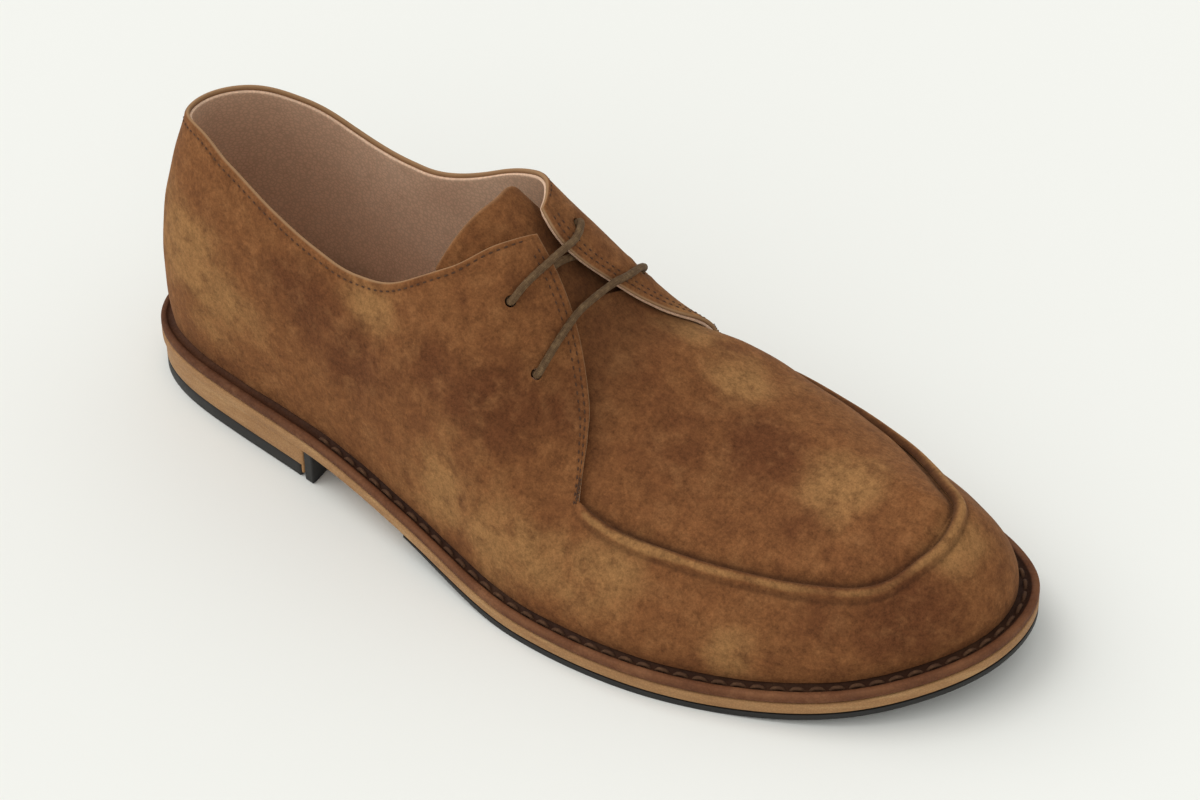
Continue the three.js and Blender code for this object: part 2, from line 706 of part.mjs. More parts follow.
/** A round punch along the surface's normal at an eyelet. */
function eyeletPunch({ side, share, rise }) {
  const turn = turnOf(side, angleOf(share));
  const above = liftedPoint(turn, rise, 3);
  const below = liftedPoint(turn, rise, -4);
  const length = above.distanceTo(below);
  const punch = new THREE.CylinderGeometry(eyelet.radius, eyelet.radius, length, eyelet.sides);
  const direction = above.clone().sub(below).normalize();
  punch.applyQuaternion(new THREE.Quaternion().setFromUnitVectors(new THREE.Vector3(0, 1, 0), direction));
  punch.translate(...above.add(below).multiplyScalar(0.5).toArray());
  punch.deleteAttribute('normal');
  punch.deleteAttribute('uv');
  return toManifold(mergeVertices(punch, 1e-4));
}

function upperGeometry() {
  let upper = toManifold(sideRingGeometry()).add(toManifold(vampGeometry()));
  for (const place of Object.values(eyelets)) upper = upper.subtract(eyeletPunch(place));
  return fromManifold(upper);
}

function tongueGeometry() {
  const rows = tongueTable.map((row, place) => ({ ...row, place }));
  const [ridge, outer, outerRise, inner, innerRise, dip] = Object.keys(tongueTable[0]).map(
    (name) => curve(rows, 'place', name),
  );
  const stations = range(0, rows.length - 1, 18).map((place) => ({
    ridge: angleOf(ridge(place)),
    outer: { angle: angleOf(outer(place)), rise: outerRise(place) },
    inner: { angle: angleOf(inner(place)), rise: innerRise(place) },
    sink: 0,
    dip: dip(place),
  }));
  const outside = crossGrid(stations, 12, -tongueWall.under);
  const inside = crossGrid(stations, 12, -tongueWall.under - tongueWall.thickness);
  return shell(outside, inside);
}

/** The lift of the lace's centre line off the last's surface, for each level in its route. */
const laceLifts = {
  over: sideWall.proud + clearance + lace.radius,
  mouth: sideWall.proud + 0.6,
  middle: sideWall.proud - sideWall.thickness / 2,
  back: sideWall.proud - sideWall.thickness - 0.9,
  under: (sideWall.proud - sideWall.thickness - tongueWall.under) / 2,
};

function laceGeometry() {
  const route = laceRoute.map(({ side, share, rise, level }) => (
    liftedPoint(turnOf(side, angleOf(share)), rise, laceLifts[level])
  ));
  const section = new THREE.Shape(range(0, 2 * Math.PI, lace.sides).slice(1).map((angle) => (
    new THREE.Vector2(lace.radius * Math.cos(angle), lace.radius * Math.sin(angle))
  )));
  const tube = new THREE.ExtrudeGeometry(section, {
    steps: lace.steps,
    extrudePath: new THREE.CatmullRomCurve3(route, false, 'centripetal'),
  });
  tube.deleteAttribute('normal');
  tube.deleteAttribute('uv');
  return mergeVertices(tube, 1e-4);
}

// The assembled shoe

function leather(color, roughness) {
  return new THREE.MeshStandardMaterial({ color, roughness, metalness: 0 });
}

const finishes = {
  suede: leather('#6f4a30', 0.95),
  tanLeather: leather('#b08a5c', 0.6),
  darkLeather: leather('#4a2b20', 0.6),
  sock: leather('#5a3a2c', 0.7),
  rubber: leather('#1c1a1a', 0.7),
  cord: leather('#6b5a48', 0.9),
};

const pieces = [
  ['outsole_rubber', rubberSoleGeometry(), finishes.rubber],
  ['leather_sole', leatherSoleGeometry(), finishes.tanLeather],
  ['heel_top_piece', heelTopPieceGeometry(), finishes.rubber],
  ['heel_lift', heelLiftGeometry(), finishes.tanLeather],
  ['heel_breast_block', heelBreastBlockGeometry(), finishes.rubber],
  ['welt', weltGeometry(), finishes.darkLeather],
  ['insole', insoleGeometry(), finishes.sock],
  ['upper', upperGeometry(), finishes.suede],
  ['tongue', tongueGeometry(), finishes.suede],
  ['lace', laceGeometry(), finishes.cord],
];

const shoe = new THREE.Group();
for (const [name, geometry, material] of pieces) {
  const mesh = new THREE.Mesh(geometry, material);
  mesh.name = name;
  shoe.add(mesh);
}

// The origin is at the middle of the bounding box's floor.
const box = new THREE.Box3().setFromObject(shoe, true);
const middle = box.getCenter(new THREE.Vector3());
shoe.position.set(-middle.x, -middle.y, -box.min.z);

export default shoe;
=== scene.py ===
"""A suede lace-up shoe with an apron front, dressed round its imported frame.

Sizes are millimetres in the shoe's own axes: x from the back of the heel to the toe, y to the inner side
and z up from the ground. Shares run from 0 at the heel to 1 at the toe, and rises from 0 at the welt to 1
on the ridge.
"""

from __future__ import annotations

import logging
from collections.abc import Callable
from dataclasses import dataclass, field
from enum import Enum, IntEnum

import bmesh
import bpy
import numpy as np
from mathutils import Matrix, Vector


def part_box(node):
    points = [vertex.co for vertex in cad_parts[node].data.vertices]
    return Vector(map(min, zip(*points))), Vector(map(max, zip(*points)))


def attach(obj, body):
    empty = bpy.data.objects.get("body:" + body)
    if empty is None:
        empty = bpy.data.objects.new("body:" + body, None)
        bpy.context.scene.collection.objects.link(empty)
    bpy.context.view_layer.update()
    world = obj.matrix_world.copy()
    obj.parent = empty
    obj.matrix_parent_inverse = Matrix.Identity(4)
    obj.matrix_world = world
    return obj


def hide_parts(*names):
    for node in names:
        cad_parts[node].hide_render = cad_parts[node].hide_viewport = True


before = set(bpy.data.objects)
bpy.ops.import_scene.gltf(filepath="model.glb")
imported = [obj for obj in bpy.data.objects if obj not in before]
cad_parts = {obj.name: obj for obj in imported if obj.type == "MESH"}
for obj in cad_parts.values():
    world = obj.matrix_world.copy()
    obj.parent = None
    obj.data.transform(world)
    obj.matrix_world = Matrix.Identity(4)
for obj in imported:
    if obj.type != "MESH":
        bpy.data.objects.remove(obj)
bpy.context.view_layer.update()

log = logging.getLogger("shoe")
Array = np.ndarray
Colour = tuple[float, float, float]
MM = 0.001
NIL = 1e-6
LONGEST = 400.0  # millimetres of cord that the mask "run" counts as 1


class Side(IntEnum):
    """The two sides of the shoe, by the sign of y."""

    OUTER = -1
    INNER = 1


class Zone(Enum):
    """The stretches of the side pieces' top edge."""

    COLLAR = "collar"
    OUTER_FACING = "outer facing"
    APRON = "apron"
    INNER_FACING = "inner facing"


OUTER, INNER = Side.OUTER, Side.INNER


# Curves


def hermite(t: Array, a: Array, b: Array, leaving: Array, arriving: Array) -> Array:
    """A cubic from a to b over t from 0 to 1, with its tangents at both ends."""
    start, end = 2 * t**3 - 3 * t**2 + 1, 3 * t**2 - 2 * t**3
    return start * a + (t**3 - 2 * t**2 + t) * leaving + end * b + (t**3 - t**2) * arriving


def spline(xs: Array, ys: Array, x: Array) -> Array:
    """A cubic Hermite curve through (xs, ys), each tangent weighted from both neighbours.

    Args:
        xs: Increasing places.
        ys: Values there.
        x: Places to read.

    Returns:
        The curve's values at x.
    """
    steps = np.diff(xs)
    slopes = np.diff(ys) / steps
    tangents = np.empty_like(ys)
    tangents[1:-1] = (slopes[:-1] * steps[1:] + slopes[1:] * steps[:-1]) / (steps[:-1] + steps[1:])
    tangents[0] = 1.5 * slopes[0] - 0.5 * tangents[1]
    tangents[-1] = 1.5 * slopes[-1] - 0.5 * tangents[-2]
    x = np.asarray(x, dtype=float)
    k = np.clip(np.searchsorted(xs, x, side="left") - 1, 0, len(xs) - 2)
    h = steps[k]
    t = np.clip((x - xs[k]) / h, 0, 1)
    return hermite(t, ys[k], ys[k + 1], h * tangents[k], h * tangents[k + 1])


def mix(a: Array, b: Array, t: Array) -> Array:
    """The value a share t of the way from a to b."""
    return a + (b - a) * t


def smooth(t: Array) -> Array:
    """An S curve from 0 to 1, flat at both ends."""
    t = np.clip(t, 0, 1)
    return t * t * (3 - 2 * t)


def bell(x: Array, centre: float, width: float) -> Array:
    """A bell curve of height 1: exp of minus the square of (x - centre) over width."""
    return np.exp(-(((x - centre) / width) ** 2))


def angle_of(share: Array) -> Array:
    """The angle for a share: shares crowd at both ends as the cosine does."""
    return np.arccos(1 - 2 * np.asarray(share, dtype=float))


def share_of(angle: Array) -> Array:
    """The share for an angle."""
    return (1 - np.cos(angle)) / 2


def turn_of(side: Array, angle: Array) -> Array:
    """The turn round the shoe: 0 at the heel, pi at the toe, negative on the inner side."""
    return np.where(np.asarray(side) == OUTER, angle, -np.asarray(angle))


def arcs_of(points: Array) -> Array:
    """Distance along a path of points, from 0 at its first, along the last but one axis."""
    steps = np.linalg.norm(np.diff(points, axis=-2), axis=-1)
    return np.concatenate([np.zeros(steps.shape[:-1] + (1,)), np.cumsum(steps, axis=-1)], axis=-1)


def unit(vectors: Array) -> Array:
    """The vectors at length 1."""
    return vectors / np.maximum(np.linalg.norm(vectors, axis=-1, keepdims=True), 1e-12)


@dataclass(frozen=True)
class Table:
    """Rows of numbers under named columns."""

    columns: str
    rows: tuple

    def column(self, name: str) -> Array:
        """One column."""
        return np.array([row[self.columns.split().index(name)] for row in self.rows], dtype=float)

    def curve(self, name: str) -> Callable[[Array], Array]:
        """The curve of a column over the first column."""
        xs, ys = self.column(self.columns.split()[0]), self.column(name)
        return lambda x: spline(xs, ys, x)

    def by_place(self, name: str, places: Array) -> Array:
        """A column read at places counted in rows."""
        return spline(np.arange(len(self.rows), dtype=float), self.column(name), places)


EDGES = {
    Zone.COLLAR: Table("side share rise foot", (
        (INNER, 0.461, 0.930, 0.425), (INNER, 0.450, 0.835, 0.410), (INNER, 0.430, 0.705, 0.392),
        (INNER, 0.400, 0.585, 0.365), (INNER, 0.355, 0.495, 0.335), (INNER, 0.300, 0.455, 0.290),
        (INNER, 0.240, 0.450, 0.240), (INNER, 0.180, 0.475, 0.180), (INNER, 0.110, 0.545, 0.110),
        (INNER, 0.045, 0.608, 0.045), (OUTER, 0, 0.628, 0), (OUTER, 0.045, 0.633, 0.045),
        (OUTER, 0.110, 0.575, 0.110), (OUTER, 0.180, 0.510, 0.180), (OUTER, 0.240, 0.473, 0.240),
        (OUTER, 0.300, 0.462, 0.290), (OUTER, 0.355, 0.499, 0.335), (OUTER, 0.410, 0.640, 0.375),
        (OUTER, 0.447, 0.822, 0.405), (OUTER, 0.475, 0.979, 0.425))),
    Zone.OUTER_FACING: Table("side share rise foot", (
        (OUTER, 0.475, 0.979, 0.425), (OUTER, 0.515, 0.944, 0.452), (OUTER, 0.549, 0.855, 0.478),
        (OUTER, 0.580, 0.703, 0.505), (OUTER, 0.589, 0.611, 0.530), (OUTER, 0.592, 0.563, 0.554),
        (OUTER, 0.598, 0.432, 0.575))),
    Zone.APRON: Table("side share rise foot", (
        (OUTER, 0.598, 0.432, 0.575), (OUTER, 0.650, 0.410, 0.645), (OUTER, 0.710, 0.420, 0.710),
        (OUTER, 0.780, 0.421, 0.780), (OUTER, 0.850, 0.422, 0.850), (OUTER, 0.920, 0.434, 0.920),
        (OUTER, 0.968, 0.548, 0.968), (OUTER, 1, 0.700, 1), (INNER, 0.968, 0.672, 0.968),
        (INNER, 0.920, 0.590, 0.920), (INNER, 0.850, 0.462, 0.850), (INNER, 0.780, 0.407, 0.780),
        (INNER, 0.710, 0.377, 0.710), (INNER, 0.650, 0.332, 0.645), (INNER, 0.596, 0.353, 0.575))),
    Zone.INNER_FACING: Table("side share rise foot", (
        (INNER, 0.596, 0.353, 0.575), (INNER, 0.590, 0.404, 0.556), (INNER, 0.591, 0.481, 0.536),
        (INNER, 0.585, 0.656, 0.515), (INNER, 0.563, 0.765, 0.495), (INNER, 0.538, 0.845, 0.476),
        (INNER, 0.512, 0.918, 0.458), (INNER, 0.488, 0.945, 0.441), (INNER, 0.461, 0.930, 0.425))),
}
EYELETS = {
    "outer_top": (OUTER, 0.479, 0.741),
    "outer_low": (OUTER, 0.523, 0.652),
    "inner_top": (INNER, 0.483, 0.800),
    "inner_low": (INNER, 0.525, 0.575),
}


@dataclass
class Last:
    """The form that the shoe was made on: its outline, its ridge and the surface between them."""

    length: float = 300.0
    ball: float = 112.0
    instep: float = 107.0
    heel_radius: float = 36.0
    toe_radius: float = 42.0
    toe_spring: float = 11.0
    clearance: float = 0.3
    welt_reach: float = 5.6
    welt_thickness: float = 3.0
    sole_thickness: float = 4.0
    rubber_thickness: float = 2.0
    heel_length: float = 73.5
    top_piece: float = 4.6
    lift: float = 7.0
    waist_end: float = 168.0
    tread_end: float = 222.0
    ridge_start: float = 30.0
    ridge_end: float = 262.0
    outline: Table = Table("share outer inner", (
        (0.06, 0.228, 0.254), (0.14, 0.292, 0.306), (0.25, 0.356, 0.288), (0.40, 0.462, 0.268),
        (0.55, 0.580, 0.345), (0.68, 0.596, 0.406), (0.80, 0.527, 0.395), (0.90, 0.406, 0.328),
        (0.96, 0.262, 0.226)))
    reach: Table = Table("share reach", ((0, 0.80), (0.25, 0.95), (0.45, 0.93), (0.65, 0.97), (1, 1.18)))
    ridge: Table = Table("along height shift", (
        (0, 1.103, 0.030), (0.13, 1.148, 0.027), (0.26, 1.155, 0.024), (0.37, 1.150, 0.030),
        (0.47, 0.960, -0.037), (0.58, 0.680, -0.019), (0.69, 0.562, 0.037), (0.80, 0.507, 0.060),
        (0.90, 0.483, 0.036), (1, 0.486, 0.004)))
    outer: Table = Table("share bulge wall crown", (
        (0, 5.6, 0.38, 0.66), (0.12, 4.4, 0.43, 0.74), (0.30, 2.0, 0.44, 0.72), (0.45, 1.7, 0.47, 0.62),
        (0.60, 1.9, 0.44, 0.34), (0.75, 2.3, 0.52, 0.40), (0.90, 1.4, 0.58, 0.43), (1, 0.8, 0.58, 0.40)))
    inner: Table = Table("share bulge wall crown", (
        (0, 5.6, 0.38, 0.66), (0.12, 4.8, 0.44, 0.76), (0.30, 2.4, 0.47, 0.75), (0.45, 3.8, 0.69, 0.86),
        (0.60, 7.7, 0.81, 0.73), (0.75, 5.1, 0.68, 0.55), (0.90, 1.4, 0.55, 0.38), (1, 0.8, 0.58, 0.40)))

    def half_width(self, side: Side, angle: Array) -> Array:
        """The outline's half width: a smooth curve of width over the sine, times the sine."""
        angles = angle_of(self.outline.column("share"))
        widths = self.outline.column(side.name.lower()) * self.ball / np.sin(angles)
        ends = [np.sqrt(radius * self.length / 2) for radius in (self.heel_radius, self.toe_radius)]
        xs = np.concatenate([[0], angles, [np.pi]])
        return spline(xs, np.concatenate([ends[:1], widths, ends[1:]]), angle) * np.sin(angle)

    def halves(self, turn: Array) -> tuple[Array, Array]:
        """The side and the angle that a turn stands for."""
        wrapped = np.arctan2(np.sin(turn), np.cos(turn))
        return np.where(wrapped >= 0, OUTER, INNER), np.abs(wrapped)

    def outline_point(self, turn: Array) -> Array:
        """The sole's outline in plan."""
        side, angle = self.halves(turn)
        half = np.where(side == OUTER, self.half_width(OUTER, angle), self.half_width(INNER, angle))
        return np.stack([self.length * share_of(angle), side * half], axis=-1)

    def inset_point(self, turn: Array, inset: Array) -> Array:
        """The outline moved inward along its normal."""
        tiny = 1e-4
        along = unit(self.outline_point(turn + tiny) - self.outline_point(turn - tiny))
        normal = np.stack([-along[..., 1], along[..., 0]], axis=-1)
        return self.outline_point(turn) + normal * np.asarray(inset)[..., None]

    def foot_inset(self, angle: Array) -> Array:
        """How far the upper's foot lies inside the outline."""
        return self.welt_reach * self.reach.curve("reach")(share_of(angle))

    def sole_underside(self, x: Array) -> Array:
        """Height of the leather sole's underside: heel seat, waist, tread, then toe spring by a square."""
        seat = self.top_piece + self.lift + 2 * self.clearance
        tread = self.rubber_thickness + self.clearance
        waist = smooth((x - self.heel_length) / (self.waist_end - self.heel_length))
        toe = np.clip((x - self.tread_end) / (self.length - self.tread_end), 0, 1)
        return mix(seat, tread, waist) + self.toe_spring * toe**2

    def welt_underside(self, x: Array) -> Array:
        """Height of the welt's underside."""
        return self.sole_underside(x) + self.sole_thickness + self.clearance

    def foot_height(self, x: Array) -> Array:
        """Height of the upper's foot."""
        return self.welt_underside(x) + self.welt_thickness + self.clearance

    def ridge_point(self, angle: Array) -> tuple[Array, Array]:
        """A point of the ridge, and the ridge's slope there."""
        along = share_of(angle)
        near = 0.002
        low, high = np.clip(along - near, 0, 1), np.clip(along + near, 0, 1)
        height, shift = self.ridge.curve("height"), self.ridge.curve("shift")
        climb = self.instep * (height(high) - height(low))
        x = mix(self.ridge_start, self.ridge_end, along)
        point = np.stack([x, self.ball * shift(along), self.instep * height(along)], axis=-1)
        return point, climb / ((high - low) * (self.ridge_end - self.ridge_start))

    def point(self, turn: Array, rise: Array) -> Array:
        """A point of the surface: a cubic in an upright plane, from the welt to the ridge."""
        turn, rise = np.broadcast_arrays(np.asarray(turn, float), np.asarray(rise, float))
        side, angle = self.halves(turn)
        foot = self.inset_point(turn, self.foot_inset(angle))
        foot_z = self.foot_height(foot[..., 0])
        top, slope = self.ridge_point(angle)
        across = top[..., :2] - foot
        share = share_of(angle)
        bulge, wall, crown = (
            np.where(side == OUTER, self.outer.curve(name)(share), self.inner.curve(name)(share))
            for name in ("bulge", "wall", "crown")
        )
        bulge = bulge / np.linalg.norm(across, axis=-1)
        b1, b2, b3 = 3 * (1 - rise) ** 2 * rise, 3 * (1 - rise) * rise**2, rise**3
        inward = -b1 * bulge + b2 * (1 - crown) + b3
        wall_z = mix(foot_z, top[..., 2], wall)
        crown_z = top[..., 2] - crown * across[..., 0] * slope
        z = (1 - rise) ** 3 * foot_z + b1 * wall_z + b2 * crown_z + b3 * top[..., 2]
        return np.concatenate([foot + across * inward[..., None], z[..., None]], axis=-1)

    def normal(self, turn: Array, rise: Array) -> Array:
        """The outward normal. On the ridge, both sides lie level across the shoe."""
        turn, rise = np.broadcast_arrays(np.asarray(turn, float), np.asarray(rise, float))
        step = 1e-3
        _, slope = self.ridge_point(self.halves(turn)[1])
        ridge = np.stack([-slope, np.zeros_like(slope), np.ones_like(slope)], axis=-1)
        inside = np.minimum(rise, 1 - step)
        along = self.point(turn + step, inside) - self.point(turn - step, inside)
        up = self.point(turn, inside + step) - self.point(turn, np.maximum(0, inside - step))
        return unit(np.where((rise > 1 - step)[..., None], ridge, np.cross(along, up)))

    def lifted(self, turn: Array, rise: Array, lift: Array) -> Array:
        """A point lifted off the surface along its normal."""
        lift = np.broadcast_to(np.asarray(lift, float), np.broadcast(turn, rise).shape)
        return self.point(turn, rise) + self.normal(turn, rise) * lift[..., None]

    def spot(self, side: Side, share: float, rise: float, lift: float = 0.0) -> Array:
        """One lifted point, by side, share and rise."""
        return self.lifted(turn_of(side, angle_of(share)), np.array(rise), np.array(lift))


LAST = Last()
PROUD = 0.4  # the side suede's outer face over the last
CORNER = np.array(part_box("leather_sole")[0]) / MM
ORIGIN = np.array([
    CORNER[0], CORNER[1] - LAST.outline_point(np.linspace(0, np.pi, 2001))[:, 1].min(), 0.0,
])


# Meshes


@dataclass
class Surface:
    """Points, faces of four corners (a repeated corner makes a triangle) and masks on the points."""

    points: Array
    faces: Array
    masks: dict[str, Array] = field(default_factory=dict)

    def volume(self) -> float:
        """Six times the signed volume."""
        p = self.points
        a, b, c, d = (p[self.faces[:, k]] for k in range(4))
        return float((np.cross(b, c) * a).sum() + (np.cross(c, d) * a).sum())


def grid_faces(rows: int, columns: int, wrap_rows: bool = False, wrap_columns: bool = False) -> Array:
    """Faces between neighbours of a grid whose points are counted row by row.

    Args:
        rows: Rows of points.
        columns: Points in a row.
        wrap_rows: Joins the last row to the first.
        wrap_columns: Joins the last column to the first.

    Returns:
        Corner numbers, four to a face.
    """
    i = np.arange(rows if wrap_rows else rows - 1)[:, None]
    j = np.arange(columns if wrap_columns else columns - 1)[None, :]
    ni, nj = (i + 1) % rows, (j + 1) % columns
    corners = [i * columns + j, ni * columns + j, ni * columns + nj, i * columns + nj]
    return np.stack([np.broadcast_to(c, (i.size, j.size)) for c in corners], axis=-1).reshape(-1, 4)


def joined(surfaces: list[Surface]) -> Surface:
    """Several surfaces as one."""
    starts = np.cumsum([0] + [len(s.points) for s in surfaces[:-1]])
    faces = np.concatenate([s.faces + start for s, start in zip(surfaces, starts)])
    names = {name for s in surfaces for name in s.masks}
    masks = {name: np.concatenate([s.masks.get(name, np.zeros(len(s.points))) for s in surfaces])
             for name in names}
    return Surface(np.concatenate([s.points for s in surfaces]), faces, masks)


def shell(outside: Array, inside: Array, zipped: bool = False) -> Surface:
    """Two sheets of matching points, closed along their rim.

    Args:
        outside: The outer sheet, as row by column by axis.
        inside: The inner sheet.
        zipped: Leaves the last row alone, because the sheet's two halves meet there.

    Returns:
        The closed surface.
    """
    rows, columns = outside.shape[:2]
    count = rows * columns
    top = grid_faces(rows, columns)
    first, down = np.arange(columns), np.arange(rows) * columns
    last = down[-1] + first
    rims = [first, down + columns - 1, last[::-1], down[::-1]]
    if zipped:
        rims.pop(2)
    ends = np.concatenate([np.stack([rim[:-1], rim[1:]], axis=-1) for rim in rims])
    sides = np.concatenate([ends[:, ::-1], ends + count], axis=1)
    faces = np.concatenate([top[:, ::-1], top + count, sides])
    return Surface(np.concatenate([outside.reshape(-1, 3), inside.reshape(-1, 3)]), faces)


def on_sheets(outside: Array, inside: Array | float = 0.0) -> Array:
    """A mask's values on the two sheets of a shell."""
    return np.concatenate([outside.ravel(), np.broadcast_to(inside, outside.shape).ravel()])


def tube(centres: Array, across: Array, up: Array, radii: Array, sides: int) -> Surface:
    """Round tubes along paths: centre plus radius times (cos a across + sin a up), with closed ends.

    Args:
        centres: Paths, as tube by step by axis.
        across: Unit vectors across each path.
        up: Unit vectors square to the path and to across.
        radii: Radii, as tube by step by (across, up).
        sides: Points in a ring.

    Returns:
        All the tubes as one surface.
    """
    count, steps = centres.shape[:2]
    angles = np.linspace(0, 2 * np.pi, sides, endpoint=False)
    ring = (
        np.cos(angles)[:, None] * (across * radii[..., :1])[..., None, :]
        + np.sin(angles)[:, None] * (up * radii[..., 1:])[..., None, :]
    )
    points = (centres[:, :, None, :] + ring).reshape(count, steps * sides, 3)
    ends = centres[:, [0, -1], :]
    points = np.concatenate([points, ends], axis=1)
    body = grid_faces(steps, sides, wrap_columns=True)
    j = np.arange(sides)
    k = (j + 1) % sides
    first, last = steps * sides, steps * sides + 1
    base = (steps - 1) * sides
    cap_a = np.stack([j, k, np.full(sides, first), np.full(sides, first)], axis=-1)
    cap_b = np.stack([base + k, base + j, np.full(sides, last), np.full(sides, last)], axis=-1)
    faces = np.concatenate([body, cap_a, cap_b])
    per = steps * sides + 2
    faces = (faces[None] + (np.arange(count) * per)[:, None, None]).reshape(-1, 4)
    return Surface(points.reshape(-1, 3), faces)


def put(name: str, surface: Surface, material: bpy.types.Material,
        replaces: tuple[str, ...] = (), sharp: float = 50.0) -> bpy.types.Object:
    """Writes a surface into a mesh object in its place, and lets it ride on the shoe.

    Args:
        name: The piece's name.
        surface: Its closed surface, in millimetres.
        material: Its finish.
        replaces: CAD nodes that it stands for.
        sharp: Edges steeper than this many degrees shade sharp.

    Returns:
        The object.
    """
    faces = surface.faces if surface.volume() > 0 else surface.faces[:, ::-1]
    mesh = bpy.data.meshes.new(name)
    mesh.vertices.add(len(surface.points))
    mesh.vertices.foreach_set("co", ((surface.points + ORIGIN) * MM).astype(np.float32).ravel())
    folded = faces[:, 2] == faces[:, 3]
    folded_first = faces[:, 0] == faces[:, 1]
    sizes = np.where(folded | folded_first, 3, 4)
    kept = np.ones(faces.shape, dtype=bool)
    kept[folded, 3] = False
    kept[folded_first, 0] = False
    mesh.loops.add(int(sizes.sum()))
    mesh.loops.foreach_set("vertex_index", faces[kept].astype(np.int32))
    mesh.polygons.add(len(faces))
    mesh.polygons.foreach_set("loop_start", (np.cumsum(sizes) - sizes).astype(np.int32))
    mesh.update(calc_edges=True)
    for mask, values in surface.masks.items():
        layer = mesh.attributes.new(mask, "FLOAT", "POINT")
        layer.data.foreach_set("value", np.clip(values, 0, 1).astype(np.float32))
    mesh.validate()
    weld(mesh)
    mesh.polygons.foreach_set("use_smooth", np.ones(len(mesh.polygons), dtype=bool))
    mesh.set_sharp_from_angle(angle=np.radians(sharp))
    made = bpy.data.objects.new(name, mesh)
    bpy.context.scene.collection.objects.link(made)
    mesh.materials.append(material)
    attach(made, "root")
    if replaces:
        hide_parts(*replaces)
    log.info("%s: %d faces", name, len(mesh.polygons))
    return made


def weld(mesh: bpy.types.Mesh) -> None:
    """Merges corners that lie within a thousandth of a millimetre."""
    work = bmesh.new()
    work.from_mesh(mesh)
    bmesh.ops.remove_doubles(work, verts=work.verts, dist=1e-6)
    work.to_mesh(mesh)
    work.free()


def distance_to(points: Array, path: Array) -> Array:
    """The distance from each point to the nearest point of a fine path."""
    parts = [
        np.linalg.norm(chunk[:, None, :] - path[None, :, :], axis=-1).min(axis=1)
        for chunk in np.array_split(points, max(1, len(points) // 4000))
    ]
    return np.concatenate(parts)


# Finishes


class Tree:
    """A shader tree that is filled by short calls."""

    def __init__(self, tree: bpy.types.NodeTree) -> None:
        """Starts on an empty tree."""
        self.tree = tree
        tree.nodes.clear()

    def add(self, kind: str, inputs: dict | None = None, **settings: object) -> bpy.types.Node:
        """Adds a node.

        Args:
            kind: Blender's name for the node's type.
            inputs: Values or sockets for its inputs, by name or number.
            **settings: The node's own settings.

        Returns:
            The node.
        """
        node = self.tree.nodes.new(kind)
        for name, value in settings.items():
            setattr(node, name, value)
        for name, value in (inputs or {}).items():
            if isinstance(value, bpy.types.NodeSocket):
                self.tree.links.new(value, node.inputs[name])
            else:
                node.inputs[name].default_value = value
        return node

    def math(self, operation: str, a: object, b: object = 0.0) -> bpy.types.NodeSocket:
        """One sum of two values."""
        return self.add("ShaderNodeMath", {0: a, 1: b}, operation=operation).outputs[0]

    def blend(self, a: object, b: object, factor: object, kind: str = "MIX") -> bpy.types.NodeSocket:
        """Two colours mixed."""
        inputs = {0: factor, 6: a if isinstance(a, bpy.types.NodeSocket) else (*a, 1.0),
                  7: b if isinstance(b, bpy.types.NodeSocket) else (*b, 1.0)}
        return self.add("ShaderNodeMix", inputs, data_type="RGBA", blend_type=kind).outputs[2]

    def noise(self, vector: object, scale: object, detail: float, rough: float) -> bpy.types.NodeSocket:
        """A cloudy value round one half."""
        inputs = {"Vector": vector, "Scale": scale, "Detail": detail, "Roughness": rough}
        return self.add("ShaderNodeTexNoise", inputs).outputs[0]

    def step(self, value: object, low: float, high: float, least: float = 0.0,
             most: float = 1.0) -> bpy.types.NodeSocket:
        """A soft step of a value between two limits."""
        inputs = {"Value": value, "From Min": low, "From Max": high, "To Min": least, "To Max": most}
        return self.add("ShaderNodeMapRange", inputs, interpolation_type="SMOOTHSTEP").outputs[0]

    def bump(self, height: object, strength: float, distance: float) -> bpy.types.NodeSocket:
        """A normal that follows a height."""
        inputs = {"Height": height, "Strength": strength, "Distance": distance}
        return self.add("ShaderNodeBump", inputs).outputs[0]

    def mask(self, name: str) -> bpy.types.NodeSocket:
        """A mask that is painted on the piece."""
        return self.add("ShaderNodeAttribute", attribute_name=name).outputs["Fac"]


